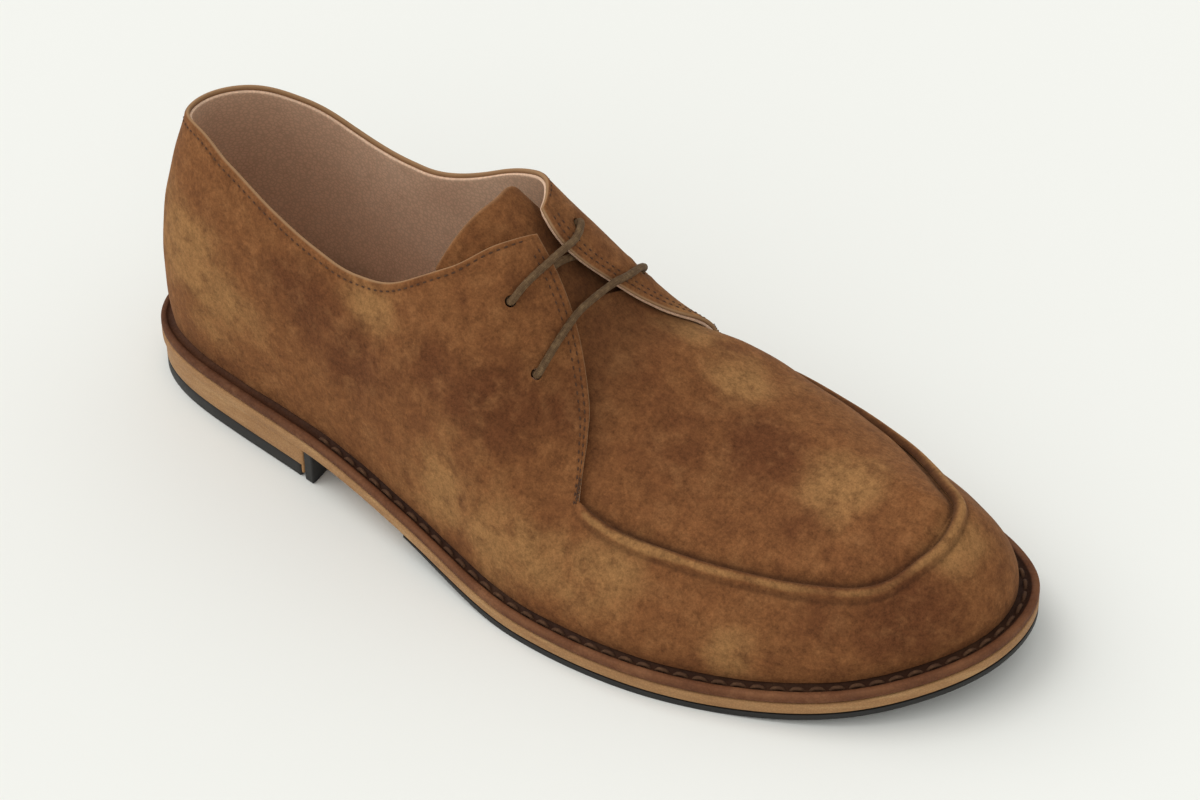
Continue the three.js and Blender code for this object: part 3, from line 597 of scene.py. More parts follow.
class Effects:
    """Shader groups that several finishes share."""

    def __init__(self) -> None:
        """Builds each group once."""
        self.nap = self._nap()
        self.grain = self._grain()
        self.patches = self._patches()

    @staticmethod
    def _group(name: str, numbers: tuple[str, ...],
               outputs: tuple[str, ...]) -> tuple[Tree, dict, bpy.types.Node]:
        """An empty group that takes a vector and some numbers.

        Args:
            name: The group's name.
            numbers: The numbers that it takes.
            outputs: The numbers that it puts out.

        Returns:
            The tree, its inputs by name, and its output node.
        """
        group = bpy.data.node_groups.new(name, "ShaderNodeTree")
        tree = Tree(group)
        group.interface.new_socket(name="Vector", in_out="INPUT", socket_type="NodeSocketVector")
        for kind, sockets in (("INPUT", numbers), ("OUTPUT", outputs)):
            for socket in sockets:
                group.interface.new_socket(name=socket, in_out=kind, socket_type="NodeSocketFloat")
        entry = tree.add("NodeGroupInput")
        return tree, {socket.name: socket for socket in entry.outputs}, tree.add("NodeGroupOutput")

    def _nap(self) -> bpy.types.NodeTree:
        """Suede's nap: short brushed strokes in several sizes, as a shade round 1 and a height."""
        tree, given, out = self._group("nap", ("Depth",), ("Shade", "Height"))
        fine = tree.noise(given["Vector"], 1900.0, 2.0, 0.7)
        hairs = tree.noise(given["Vector"], 820.0, 3.0, 0.65)
        strokes = tree.noise(given["Vector"], 260.0, 4.0, 0.6)
        total = tree.math("ADD", tree.math("MULTIPLY", fine, 0.30), tree.math("MULTIPLY", hairs, 0.40))
        total = tree.math("ADD", total, tree.math("MULTIPLY", strokes, 0.30))
        swing = tree.math("MULTIPLY", tree.math("SUBTRACT", total, 0.5), given["Depth"])
        shade = tree.math("ADD", swing, 1.0)
        tree.tree.links.new(shade, out.inputs["Shade"])
        tree.tree.links.new(total, out.inputs["Height"])
        return tree.tree

    def _grain(self) -> bpy.types.NodeTree:
        """Smooth leather's grain: pebbles between fine creases, as a shade round 1 and a height."""
        tree, given, out = self._group("grain", ("Scale",), ("Shade", "Height"))
        place = {name: given[name] for name in ("Vector", "Scale")}
        cells = tree.add("ShaderNodeTexVoronoi", place, feature="DISTANCE_TO_EDGE").outputs["Distance"]
        pebbles = tree.step(cells, 0.0, 0.22)
        cloud = tree.add("ShaderNodeTexNoise", {**place, "Detail": 4.0}).outputs[0]
        height = tree.math("ADD", tree.math("MULTIPLY", pebbles, 0.6), tree.math("MULTIPLY", cloud, 0.4))
        tree.tree.links.new(tree.step(height, 0.2, 0.9, 0.88, 1.07), out.inputs["Shade"])
        tree.tree.links.new(height, out.inputs["Height"])
        return tree.tree

    def _patches(self) -> bpy.types.NodeTree:
        """Large soft patches, which a painted mask calls up or leaves to chance."""
        tree, given, out = self._group("patches", ("Scale", "Painted", "Start"), ("Mask",))
        cloud = tree.noise(given["Vector"], given["Scale"], 5.0, 0.62)
        painted = tree.math("MULTIPLY", given["Painted"], 0.36)
        called = tree.math("ADD", tree.math("MULTIPLY", cloud, 0.8), painted)
        over = tree.math("SUBTRACT", called, given["Start"])
        tree.tree.links.new(tree.step(over, 0.0, 0.30), out.inputs["Mask"])
        return tree.tree


def shader(tree: Tree, colour: object, roughness: object, normal: object, **fixed: object) -> None:
    """Ends a material with its Principled shader.

    Args:
        tree: The material's tree.
        colour: Base colour.
        roughness: Roughness.
        normal: Normal, or None.
        **fixed: Even values, set on the shader's own sockets; an underscore stands for a space.
    """
    inputs = {"Base Color": colour if isinstance(colour, bpy.types.NodeSocket) else (*colour, 1.0),
              "Roughness": roughness}
    if normal is not None:
        inputs["Normal"] = normal
    node = tree.add("ShaderNodeBsdfPrincipled", inputs)
    for name, value in fixed.items():
        node.inputs[name.replace("_", " ")].default_value = value
    tree.add("ShaderNodeOutputMaterial", {"Surface": node.outputs[0]})


def blank(name: str) -> tuple[bpy.types.Material, Tree, bpy.types.NodeSocket]:
    """A new material, its tree and the piece's own coordinates."""
    made = bpy.data.materials.new(name)
    made.use_nodes = True
    tree = Tree(made.node_tree)
    return made, tree, tree.add("ShaderNodeTexCoord").outputs["Object"]


@dataclass(frozen=True)
class Suede:
    """Brushed suede: patches of light and dark nap, partly painted light and shade; a pale cut edge;
    painted shade in the seams.
    """

    name: str = "suede"
    mid: Colour = (0.192, 0.076, 0.027)
    light: Colour = (0.310, 0.158, 0.058)
    dark: Colour = (0.094, 0.030, 0.012)
    edge: Colour = (0.36, 0.22, 0.115)
    # The colour of painted shade: grooves, stitch rows, eyelets and places under the facings.
    shaded_seam: Colour = (0.030, 0.012, 0.007)
    pale_cloud: Colour = (0.245, 0.112, 0.043)
    dark_cloud: Colour = (0.130, 0.046, 0.018)
    sheen: tuple[float, float, float, float] = (0.95, 0.60, 0.32, 1)
    patch: float = 34.0
    depth: float = 2.7
    bump: float = 0.00040

    def material(self, effects: Effects) -> bpy.types.Material:
        """The finish as a material."""
        made, tree, place = blank(self.name)
        moved = tree.add("ShaderNodeMapping", {"Vector": place, "Location": (0.31, -0.17, 0.09)}).outputs[0]
        # Pale and dark patches, which carry painted light and shade as well as the suede's own tone.
        light, dark = (
            tree.add("ShaderNodeGroup", {"Vector": vector, "Scale": self.patch * size,
                                         "Painted": tree.mask(mask), "Start": start - 0.045},
                     node_tree=effects.patches).outputs[0]
            for vector, size, mask, start in ((place, 1.0, "tan", 0.50), (moved, 0.8, "deep", 0.49))
        )
        colour = tree.blend(self.mid, self.light, tree.math("MULTIPLY", light, 0.85))
        colour = tree.blend(colour, self.dark, tree.math("MULTIPLY", dark, 0.72))
        cloud = tree.noise(place, 130.0, 6.0, 0.62)
        colour = tree.blend(colour, self.pale_cloud, tree.step(cloud, 0.46, 0.80, 0.0, 0.55))
        colour = tree.blend(colour, self.dark_cloud, tree.step(cloud, 0.54, 0.22, 0.0, 0.60))
        inputs = {"Vector": place, "Depth": self.depth}
        nap = tree.add("ShaderNodeGroup", inputs, node_tree=effects.nap).outputs
        tone = tree.add("ShaderNodeCombineColor", {k: nap["Shade"] for k in range(3)}).outputs[0]
        colour = tree.blend(colour, tone, 1.0, "MULTIPLY")
        colour = tree.blend(colour, self.edge, tree.mask("edge"))
        # Painted shade where the shade mask is set.
        colour = tree.blend(colour, self.shaded_seam, tree.math("MULTIPLY", tree.mask("shade"), 0.86))
        rise = tree.math("ADD", nap["Height"], tree.math("MULTIPLY", cloud, 0.8))
        shader(tree, colour, 0.95, tree.bump(rise, 0.75, self.bump), Specular_IOR_Level=0.10,
               Sheen_Weight=0.10, Sheen_Roughness=0.42, Sheen_Tint=self.sheen)
        return made


@dataclass(frozen=True)
class Leather:
    """Smooth leather: grain, soft stains and masks for worn places and painted shade."""

    name: str
    base: Colour
    light: Colour
    dark: Colour
    roughness: float
    grain: float = 900.0
    bump: float = 0.00012
    stain: float = 45.0
    streaks: float = 1.0
    specular: float = 0.4

    def material(self, effects: Effects) -> bpy.types.Material:
        """The finish as a material."""
        made, tree, place = blank(self.name)
        inputs = {"Vector": place, "Scale": (1.0, 1.0, self.streaks)}
        drawn = tree.add("ShaderNodeMapping", inputs).outputs[0]
        cloud = tree.noise(drawn, self.stain, 5.0, 0.6)
        fine = tree.noise(drawn, self.stain * 9, 4.0, 0.6)
        colour = tree.blend(self.base, self.light, tree.step(cloud, 0.50, 0.72, 0.0, 0.8))
        colour = tree.blend(colour, self.dark, tree.step(cloud, 0.50, 0.27, 0.0, 0.8))
        colour = tree.blend(colour, self.dark, tree.step(fine, 0.52, 0.78, 0.0, 0.5))
        inputs = {"Vector": place, "Scale": self.grain}
        grain = tree.add("ShaderNodeGroup", inputs, node_tree=effects.grain).outputs
        tone = tree.add("ShaderNodeCombineColor", {k: grain["Shade"] for k in range(3)}).outputs[0]
        colour = tree.blend(colour, tone, 1.0, "MULTIPLY")
        colour = tree.blend(colour, self.light, tree.mask("edge"))
        # Painted shade where the shade mask is set.
        deep = tuple(c * 0.18 for c in self.dark)
        colour = tree.blend(colour, deep, tree.math("MULTIPLY", tree.mask("shade"), 0.9))
        rough = tree.step(fine, 0.3, 0.75, self.roughness - 0.08, self.roughness + 0.1)
        height = tree.math("ADD", grain["Height"], tree.math("MULTIPLY", fine, 0.7))
        shader(tree, colour, rough, tree.bump(height, 0.6, self.bump), Specular_IOR_Level=self.specular)
        return made


@dataclass(frozen=True)
class Cord:
    """Waxed thread or lace: fine twisted strands along the piece's own run."""

    name: str
    base: Colour
    light: Colour
    pitch: float = 1.1
    roughness: float = 0.62

    def material(self) -> bpy.types.Material:
        """The finish as a material: waves on the sum of run and turn make the strands."""
        made, tree, place = blank(self.name)
        run, turn = tree.mask("run"), tree.mask("turn")
        strands = []
        for sense in (1.0, -1.0):
            phase = tree.math("ADD", tree.math("MULTIPLY", run, LONGEST / self.pitch),
                              tree.math("MULTIPLY", turn, sense * 6.0))
            strands.append(tree.math("SINE", tree.math("MULTIPLY", phase, 2 * np.pi)))
        woven = tree.math("MULTIPLY", strands[0], strands[1])
        dust = tree.noise(place, 700.0, 4.0, 0.65)
        colour = tree.blend(self.base, self.light, tree.step(dust, 0.4, 0.75, 0.0, 0.75))
        dark = tuple(c * 0.45 for c in self.base)
        colour = tree.blend(colour, dark, tree.step(woven, -0.1, -0.9, 0.0, 0.5))
        height = tree.math("ADD", tree.math("MULTIPLY", woven, 0.5), dust)
        bump = tree.bump(height, 0.6, 0.00018)
        shader(tree, colour, self.roughness, bump, Specular_IOR_Level=0.35)
        return made


@dataclass(frozen=True)
class Rubber:
    """Black rubber with a dry, lightly dusted skin."""

    name: str = "black_rubber"
    base: Colour = (0.012, 0.011, 0.010)
    dusty: Colour = (0.032, 0.030, 0.026)

    def material(self) -> bpy.types.Material:
        """The finish as a material."""
        made, tree, place = blank(self.name)
        cloud = tree.noise(place, 90.0, 6.0, 0.65)
        fine = tree.noise(place, 1500.0, 3.0, 0.6)
        colour = tree.blend(self.base, self.dusty, tree.step(cloud, 0.45, 0.75, 0.0, 0.7))
        bump = tree.bump(fine, 0.5, 0.00012)
        shader(tree, colour, tree.step(cloud, 0.3, 0.7, 0.5, 0.7), bump, Specular_IOR_Level=0.4)
        return made


# Relief shared by the upper's pieces


@dataclass(frozen=True)
class Crease:
    """A soft trough between two spots, with a low ridge on both sides."""

    start: tuple[Side, float, float]
    end: tuple[Side, float, float]
    depth: float
    width: float

    def relief(self, points: Array) -> Array:
        """Minus a bell of the distance to the line, plus two weaker ones beside it, faded at both ends."""
        a, b = LAST.spot(*self.start), LAST.spot(*self.end)
        along = np.clip(((points - a) @ (b - a)) / ((b - a) @ (b - a)), 0, 1)
        gap = np.linalg.norm(points - (a + along[..., None] * (b - a)), axis=-1)
        fade = smooth(along / 0.3) * smooth((1 - along) / 0.3)
        ridge = 0.4 * bell(gap, 1.9 * self.width, 0.9 * self.width)
        return self.depth * fade * (ridge - bell(gap, 0, self.width))


@dataclass
class Relief:
    """The soft unevenness of the suede, its creases and its light and dark places, partly painted light and
    shade.
    """

    sway: float = 0.16
    creases: tuple[Crease, ...] = (
        Crease((OUTER, 0.655, 0.62), (OUTER, 0.700, 0.98), 0.42, 4.6),
        Crease((OUTER, 0.615, 0.60), (OUTER, 0.640, 0.97), 0.34, 3.8),
        Crease((INNER, 0.640, 0.55), (INNER, 0.685, 0.97), 0.40, 4.4),
        Crease((OUTER, 0.775, 0.66), (OUTER, 0.745, 1.0), 0.26, 5.0),
        Crease((OUTER, 0.600, 0.12), (OUTER, 0.560, 0.50), 0.40, 4.6),
        Crease((OUTER, 0.660, 0.08), (OUTER, 0.640, 0.32), 0.34, 4.2),
        Crease((OUTER, 0.300, 0.12), (OUTER, 0.345, 0.42), 0.45, 5.5),
        Crease((OUTER, 0.400, 0.20), (OUTER, 0.430, 0.62), 0.36, 5.0),
        Crease((OUTER, 0.500, 0.40), (OUTER, 0.497, 0.80), 0.26, 3.2),
        Crease((INNER, 0.300, 0.12), (INNER, 0.350, 0.42), 0.45, 5.5),
        Crease((INNER, 0.600, 0.10), (INNER, 0.570, 0.32), 0.38, 4.4),
        Crease((INNER, 0.090, 0.18), (INNER, 0.060, 0.50), 0.32, 5.0),
    )
    # Pale patches: partly the suede's own tone, partly painted light, as on the lower heel quarter.
    tan: tuple[tuple[Side, float, float, float, float], ...] = (
        (OUTER, 0.050, 0.30, 22, 1.0), (OUTER, 0.110, 0.18, 20, 1.0), (OUTER, 0.330, 0.40, 10, 0.7),
        (OUTER, 0.440, 0.14, 16, 1.0), (OUTER, 0.500, 0.12, 16, 0.9), (OUTER, 0.560, 0.20, 14, 0.8),
        (OUTER, 0.880, 0.86, 15, 1.0), (INNER, 0.700, 0.88, 15, 0.9), (INNER, 0.740, 0.66, 12, 0.7),
        (INNER, 0.610, 0.72, 12, 0.9), (OUTER, 0.780, 0.14, 9, 0.7), (OUTER, 0.990, 0.55, 9, 0.9),
        (OUTER, 0.640, 0.26, 13, 0.8), (INNER, 0.200, 0.30, 22, 0.8), (INNER, 0.500, 0.25, 20, 0.8),
        (INNER, 0.850, 0.25, 14, 0.6), (INNER, 0.040, 0.35, 15, 0.6), (OUTER, 0.610, 0.15, 10, 0.6),
    )
    # Dark patches: partly the suede's own tone, partly painted shade, as on the toe's front wall.
    deep: tuple[tuple[Side, float, float, float, float], ...] = (
        (OUTER, 0.250, 0.33, 17, 1.0), (OUTER, 0.310, 0.27, 14, 0.9), (OUTER, 0.500, 0.50, 18, 1.0),
        (OUTER, 0.552, 0.64, 13, 0.9), (OUTER, 0.625, 0.93, 11, 0.6), (OUTER, 0.780, 0.84, 13, 1.0),
        (OUTER, 0.670, 0.72, 16, 0.9), (OUTER, 0.940, 0.26, 18, 1.0), (OUTER, 0.860, 0.28, 14, 0.7),
        (INNER, 0.350, 0.30, 18, 0.8), (INNER, 0.660, 0.30, 16, 0.7), (OUTER, 0.420, 0.42, 12, 0.6),
        (INNER, 0.930, 0.30, 16, 0.8), (OUTER, 0.840, 0.62, 9, 0.5), (INNER, 0.460, 0.50, 14, 0.7),
    )

    waves: tuple[tuple[float, float, float, float], ...] = (
        (0.17, 0.05, 0.11, 0.4), (-0.09, 0.16, 0.13, 1.9), (0.05, 0.21, -0.12, 3.1),
        (0.29, -0.12, 0.07, 0.9), (0.11, 0.09, 0.33, 5.2),
    )

    def lift(self, points: Array) -> Array:
        """Creases, plus slow waves: sines of fixed slanting distances, averaged."""
        flat = points.reshape(-1, 3)
        total = sum(crease.relief(flat) for crease in self.creases)
        for *slant, phase in self.waves:
            total = total + self.sway * np.sin(flat @ np.array(slant) + phase) / len(self.waves) * 2
        return total.reshape(points.shape[:-1])

    def masks(self, points: Array) -> dict[str, Array]:
        """The light and dark places, partly the suede's tone and partly painted light and shade: the
        strongest bell at each point.
        """
        flat = points.reshape(-1, 3)
        painted = {}
        for name, spots in (("tan", self.tan), ("deep", self.deep)):
            total = np.zeros(len(flat))
            for side, share, rise, width, strength in spots:
                gap = np.linalg.norm(flat - LAST.spot(side, share, rise), axis=-1)
                total = np.maximum(total, strength * bell(gap, 0, width))
            painted[name] = total.reshape(points.shape[:-1])
        return painted


# Stitches


@dataclass(frozen=True)
class Seam:
    """A run of stitches: pitch and thread in millimetres, fill is a stitch's share of the pitch."""

    pitch: float = 2.5
    fill: float = 0.68
    thread: float = 0.26
    proud: float = 0.12
    sides: int = 6

    def surface(self, path: Array, normals: Array) -> Surface:
        """Low arches of thread: their height over the path follows half a sine wave.

        Args:
            path: A fine path on the leather.
            normals: The leather's outward normals there.

        Returns:
            All the stitches.
        """
        arcs = arcs_of(path)
        count = int(arcs[-1] // self.pitch)
        spare = arcs[-1] - (count - 1) * self.pitch - self.fill * self.pitch
        starts = spare / 2 + np.arange(count) * self.pitch
        u = np.linspace(0, 1, 6)
        s = starts[:, None] + u[None, :] * self.pitch * self.fill
        centres = np.stack([np.interp(s, arcs, path[:, k]) for k in range(3)], axis=-1)
        up = unit(np.stack([np.interp(s, arcs, normals[:, k]) for k in range(3)], axis=-1))
        along = unit(np.gradient(centres, axis=1))
        across = unit(np.cross(up, along))
        up = np.cross(along, across)
        arch = np.sin(np.pi * u) ** 0.6
        centres = centres + up * (arch * (self.proud + self.thread) - self.thread)[None, :, None]
        radii = (self.thread * (0.55 + 0.45 * arch))[None, :, None]
        radii = np.broadcast_to(radii, centres.shape[:2] + (2,))
        made = tube(centres, across, up, radii, self.sides)
        made.masks = {"run": np.zeros(len(made.points)), "turn": np.zeros(len(made.points))}
        return made


# The upper


def turns_of(zone: Zone, name: str) -> Array:
    """A column of a zone's table as turns, which run on past pi over the toe."""
    turns = turn_of(EDGES[zone].column("side"), angle_of(EDGES[zone].column(name)))
    return turns % (2 * np.pi) if zone is Zone.APRON else turns


@dataclass
class Edge:
    """Columns down the side pieces, evenly spaced along their top edge."""

    top: Array
    foot: Array
    rise: Array
    zone: Array
    run: Array
    length: Array

    @classmethod
    def spaced(cls, spacing: float) -> Edge:
        """Reads the edge tables at even steps of arc length.

        Args:
            spacing: The step, in millimetres.

        Returns:
            The columns, once round the shoe.
        """
        found = {name: [] for name in ("top", "foot", "rise", "zone", "run", "length")}
        for number, (zone, table) in enumerate(EDGES.items()):
            rows = np.arange(len(table.rows), dtype=float)
            tops, feet = turns_of(zone, "share"), turns_of(zone, "foot")
            fine = np.linspace(0, rows[-1], 1500)
            arcs = arcs_of(LAST.lifted(spline(rows, tops, fine), table.by_place("rise", fine), PROUD))
            count = max(2, round(arcs[-1] / spacing))
            runs = np.linspace(0, arcs[-1], count + 1)[:-1]
            places = np.interp(runs, arcs, fine)
            found["top"].append(spline(rows, tops, places))
            found["foot"].append(spline(rows, feet, places))
            found["rise"].append(table.by_place("rise", places))
            found["zone"].append(np.full(count, number))
            found["run"].append(runs)
            found["length"].append(np.full(count, arcs[-1]))
        return cls(**{name: np.concatenate(parts) for name, parts in found.items()})

    def is_in(self, *zones: Zone) -> Array:
        """1 for the columns in these zones, 0 for the rest."""
        order = list(EDGES)
        return np.isin(self.zone, [order.index(zone) for zone in zones]).astype(float)

    def inside_zone(self, zone: Zone, start: float, end: float) -> Array:
        """1 well inside a zone, sinking to 0 over these lengths at its two ends."""
        fade = smooth(self.run / start) * smooth((self.length - self.run) / end)
        return fade * self.is_in(zone)

    def arcs(self) -> tuple[Array, Array]:
        """Fine shares up the columns, and each column's distance from its top at those shares."""
        share = np.linspace(1, 0, 97)
        turn = mix(self.foot[:, None], self.top[:, None], share)
        return share, arcs_of(LAST.lifted(turn, self.rise[:, None] * share, PROUD))

    def shares(self, distances: Array) -> Array:
        """The share up each column at distances from its top, read off the column's own arc length."""
        levels, arcs = self.arcs()
        shift = np.arange(len(arcs))[:, None] * (arcs.max() + 1)
        wanted = np.clip(distances, 0, arcs[:, -1:])
        found = np.interp((wanted + shift).ravel(), (arcs + shift).ravel(), np.tile(levels, len(arcs)))
        return found.reshape(wanted.shape)

    def depth(self) -> Array:
        """The length of each column."""
        return self.arcs()[1][:, -1]

    def places(self, share: Array) -> tuple[Array, Array]:
        """Turns and rises at shares up the columns."""
        return mix(self.foot[:, None], self.top[:, None], share), self.rise[:, None] * share


@dataclass
class Upper:
    """The side pieces with their raised apron roll, the vamp between them, and the lining."""

    suede: float = 1.3
    lining: float = 1.05
    vamp_under: float = 1.2
    vamp_thickness: float = 1.8
    spacing: float = 1.25
    lining_spacing: float = 2.0
    roll_height: float = 1.3
    roll_centre: float = 1.85
    roll_half: float = 2.25
    roll_starts: float = 4.0
    roll_ends: float = 6.0
    trough: float = 4.7
    facing_rows: tuple[float, float] = (2.7, 5.1)
    collar_row: float = 2.9
    tacks: tuple[float, float, float] = (1.3, 2.2, 3.1)
    front_rows: tuple[float, ...] = (
        0.16, 0.55, 1, 1.5, 2, 2.6, 3.2, 3.9, 4.7, 5.6, 6.6, 7.6, 8.6, 9.6, 10.6, 11.6, 12.7, 14)
    back_rows: tuple[float, ...] = (0.16, 0.55, 2.0, 5.0, 9.0)
    tongue_room: float = 6.5
    foot_drop: float = 0.26
    eyelet: float = 1.75
    relief: Relief = field(default_factory=Relief)
    vamp: Table = Table("share outer inner sink", (
        (0.545, 0.640, 0.620, 2.0), (0.570, 0.540, 0.520, 1.6), (0.592, 0.420, 0.330, 0.9),
        (0.620, 0.355, 0.285, 0.2), (0.650, 0.350, 0.278, 0), (0.710, 0.358, 0.315, 0),
        (0.780, 0.358, 0.345, 0), (0.850, 0.360, 0.375, 0), (0.920, 0.372, 0.408, 0),
        (0.968, 0.460, 0.498, 0), (1, 0.600, 0.600, 0)))

    def __post_init__(self) -> None:
        """Works the edge's columns out once."""
        self.edge = Edge.spaced(self.spacing)

    def zones(self, edge: Edge) -> tuple[Array, Array, Array]:
        """Weights of the apron, the facings and the collar, a row for each column."""
        apron = edge.inside_zone(Zone.APRON, self.roll_starts, self.roll_ends)
        facing = edge.is_in(Zone.OUTER_FACING, Zone.INNER_FACING)
        return apron[:, None], facing[:, None], edge.is_in(Zone.COLLAR)[:, None]

    def dressed(self, edge: Edge, distance: Array, share: Array) -> tuple[Array, dict[str, Array]]:
        """The suede's outer face: the last, lifted by roll, seams, puckers, creases and waves.

        Args:
            edge: Columns of the side pieces.
            distance: Distance from the top edge, column by row.
            share: Share up each column, alike.

        Returns:
            The points and their masks.
        """
        turn, rise = edge.places(share)
        base, normal = LAST.point(turn, rise), LAST.normal(turn, rise)
        apron, facing, collar = self.zones(edge)
        arch = np.clip(1 - ((distance - self.roll_centre) / self.roll_half) ** 2, 0, 1) ** 0.8
        near_row, far_row = self.facing_rows
        lift = PROUD + apron * (self.roll_height * arch - 0.34 * bell(distance, self.trough, 1.0))
        lift = lift - 0.16 * facing * (bell(distance, near_row, 0.5) + bell(distance, far_row, 0.5))
        lift = lift - 0.18 * collar * bell(distance, self.collar_row, 0.6)
        lift = lift + 0.12 * collar * bell(distance, 1.2, 0.8)
        lift = lift + self.relief.lift(base) * smooth(distance / 6)
        masks = self.relief.masks(base)
        shade = apron * (0.85 * bell(distance, -0.3, 0.9) + 0.46 * bell(distance, self.trough - 0.2, 0.8))
        shade = shade + 0.30 * facing * (bell(distance, near_row, 0.45) + bell(distance, far_row, 0.45))
        shade = shade + 0.25 * collar * bell(distance, self.collar_row, 0.5)
        for eyelet in EYELETS.values():
            gap = np.linalg.norm(base - LAST.spot(*eyelet), axis=-1)
            lift = lift - 0.55 * bell(gap, 0, 2.6) + 0.22 * bell(gap, 4.4, 1.3)
            shade = shade + 0.5 * bell(gap, 1.2, 1.3)
        masks["shade"] = shade
        # Painted highlight along the crest of the apron roll.
        masks["tan"] = np.maximum(masks["tan"], 1.1 * apron * bell(distance, 1.9, 1.4))
        # Darker towards the foot of the side pieces.
        masks["deep"] = np.maximum(masks["deep"], 0.5 * bell(share, 0, 0.1))
        masks["edge"] = smooth((0.62 - distance) / 0.5) * (facing * 0.85 + collar * 0.75)
        return base + normal * lift[..., None], masks

    def side_surface(self) -> Surface:
        """A closed ring of suede: outer face, rounded cut edge, inner face and foot."""
        edge = self.edge
        depth = edge.depth()[:, None]

        def rows(near: tuple[float, ...], count: int) -> Array:
            """Distances from the edge: a few near it, then even steps to the foot."""
            far = near[-1] + (depth - near[-1]) * np.linspace(0, 1, count)[None, 1:]
            return np.concatenate([np.broadcast_to(near, (len(depth), len(near))), far], axis=1)

        distance = rows(self.front_rows, 31)
        share = edge.shares(distance)
        outer, masks = self.dressed(edge, distance, share)
        rounding = np.where(distance < 0.3, 0.30, np.where(distance < 0.7, 0.04, 0.0))
        outer = outer - LAST.normal(*edge.places(share)) * rounding[..., None]
        under = PROUD - self.suede
        rim = LAST.lifted(*edge.places(np.ones((len(depth), 2))), np.array([PROUD - 0.62, under + 0.5]))
        back = rows(self.back_rows, 13)
        inner = LAST.lifted(*edge.places(edge.shares(back)), under + np.where(back < 0.3, 0.22, 0.0))
        outer[:, -1, 2] -= self.foot_drop
        inner[:, -1, 2] -= self.foot_drop
        points = np.concatenate([outer[:, ::-1], rim, inner], axis=1)
        apron, facing, collar = self.zones(edge)
        cut = collar * 0.75 + facing * 0.85
        rim_masks = {"edge": cut, "shade": 0.85 * apron}
        back_masks = {"edge": cut * (back < 1), "shade": 0.6 * (back > 2)}
        none = np.zeros_like(back)
        grids = {}
        for name, mask in masks.items():
            rim_mask = np.repeat(rim_masks.get(name, none[:, :1]), 2, axis=1)
            parts = [mask[:, ::-1], rim_mask, back_masks.get(name, none)]
            grids[name] = np.concatenate(parts, axis=1).ravel()
        return Surface(points.reshape(-1, 3), grid_faces(*points.shape[:2], True, True), grids)

    def lining_surface(self) -> Surface:
        """A closed ring of lining inside the suede, a little below its edge and well short of the apron."""
        edge = Edge.spaced(self.lining_spacing)
        depth = edge.depth()[:, None]
        apron = edge.inside_zone(Zone.APRON, 5.0, 5.0)[:, None]
        short = 0.35 + 0.75 * edge.is_in(Zone.COLLAR)[:, None] + self.tongue_room * apron
        rows = np.concatenate([[0.0, 0.12, 0.5, 1.5, 3.0], np.linspace(5, 30, 12)])
        distance = short + rows[None, :] * np.where(rows < 4, 1.0, (depth - short) / 30)
        top_lift, low_lift = PROUD - self.suede - 0.04, PROUD - self.suede - self.lining
        sway = 0.12 * np.sin(distance * 0.35 + edge.run[:, None] * 0.11)
        turn, rise = edge.places(edge.shares(distance))
        rounding = np.where(rows < 0.05, 0.35, np.where(rows < 0.2, 0.1, 0.0))[None, :]
        outer = LAST.lifted(turn, rise, top_lift - rounding)
        inner = LAST.lifted(turn, rise, low_lift + rounding - 0.25 * smooth(distance / 8) * (0.5 + sway))
        points = np.concatenate([outer[:, ::-1], inner], axis=1)
        near_top = 0.1 * bell(distance, 0, 1.0)
        line = 0.55 * bell(distance, 3.4, 0.35) + 0.5 * smooth((distance - 0.8 * depth) / (0.2 * depth))
        masks = {"edge": np.concatenate([near_top[:, ::-1], near_top], axis=1).ravel(),
                 "shade": np.concatenate([np.zeros_like(distance), line], axis=1).ravel()}
        return Surface(points.reshape(-1, 3), grid_faces(*points.shape[:2], True, True), masks)

    def vamp_surface(self) -> Surface:
        """The vamp: a sheet across the ridge, closed at the toe, pulled down along the apron seam."""
        shares = share_of(np.linspace(angle_of(0.545), np.pi, 190))
        q = np.linspace(-1, 1, 141)
        across = np.abs(q)[None, :]
        sides = np.where(q < 0, OUTER, INNER)[None, :]
        ends = np.where(q[None, :] < 0, self.vamp.curve("outer")(shares)[:, None],
                        self.vamp.curve("inner")(shares)[:, None])
        turn = turn_of(np.broadcast_to(sides, ends.shape), angle_of(shares)[:, None] * np.ones_like(ends))
        rise = mix(1.0, ends, across)
        base, normal = LAST.point(turn, rise), LAST.normal(turn, rise)
        # The apron seam's columns; the vamp's painted shade follows this line.
        shaded_seam = self.edge.is_in(Zone.APRON) > 0
        path = LAST.lifted(self.edge.top[shaded_seam], self.edge.rise[shaded_seam], 0.0)
        gap = distance_to(base.reshape(-1, 3), path).reshape(rise.shape)
        level = np.zeros_like(rise)
        for side in Side:
            rows = sorted(row[1:3] for row in EDGES[Zone.APRON].rows if row[0] == side or row[1] == 1)
            line = np.interp(shares, [row[0] for row in rows], [row[1] for row in rows])[:, None]
            level = np.where(sides == side, line, level)
        inward = np.where(rise > level, gap, -gap)
        front = smooth((shares[:, None] - 0.585) / 0.05)
        sink = self.vamp.curve("sink")(shares)[:, None]
        swell = 1.05 * smooth((inward - 0.8) / 4.5) - 0.25 * bell(inward, 0.4, 0.9)
        lift = -self.vamp_under - sink + front * swell
        lift = lift + self.relief.lift(base) * front
        outside = base + normal * lift[..., None]
        inside = base + normal * (-self.vamp_under - self.vamp_thickness - sink)[..., None]
        masks = self.relief.masks(base)
        masks["shade"] = 0.80 * front * bell(inward, 0.3, 1.15) + 0.35 * (1 - front)
        masks["edge"] = np.zeros_like(rise)
        made = shell(outside, inside, zipped=True)
        made.masks = {name: on_sheets(grid) for name, grid in masks.items()}
        return made

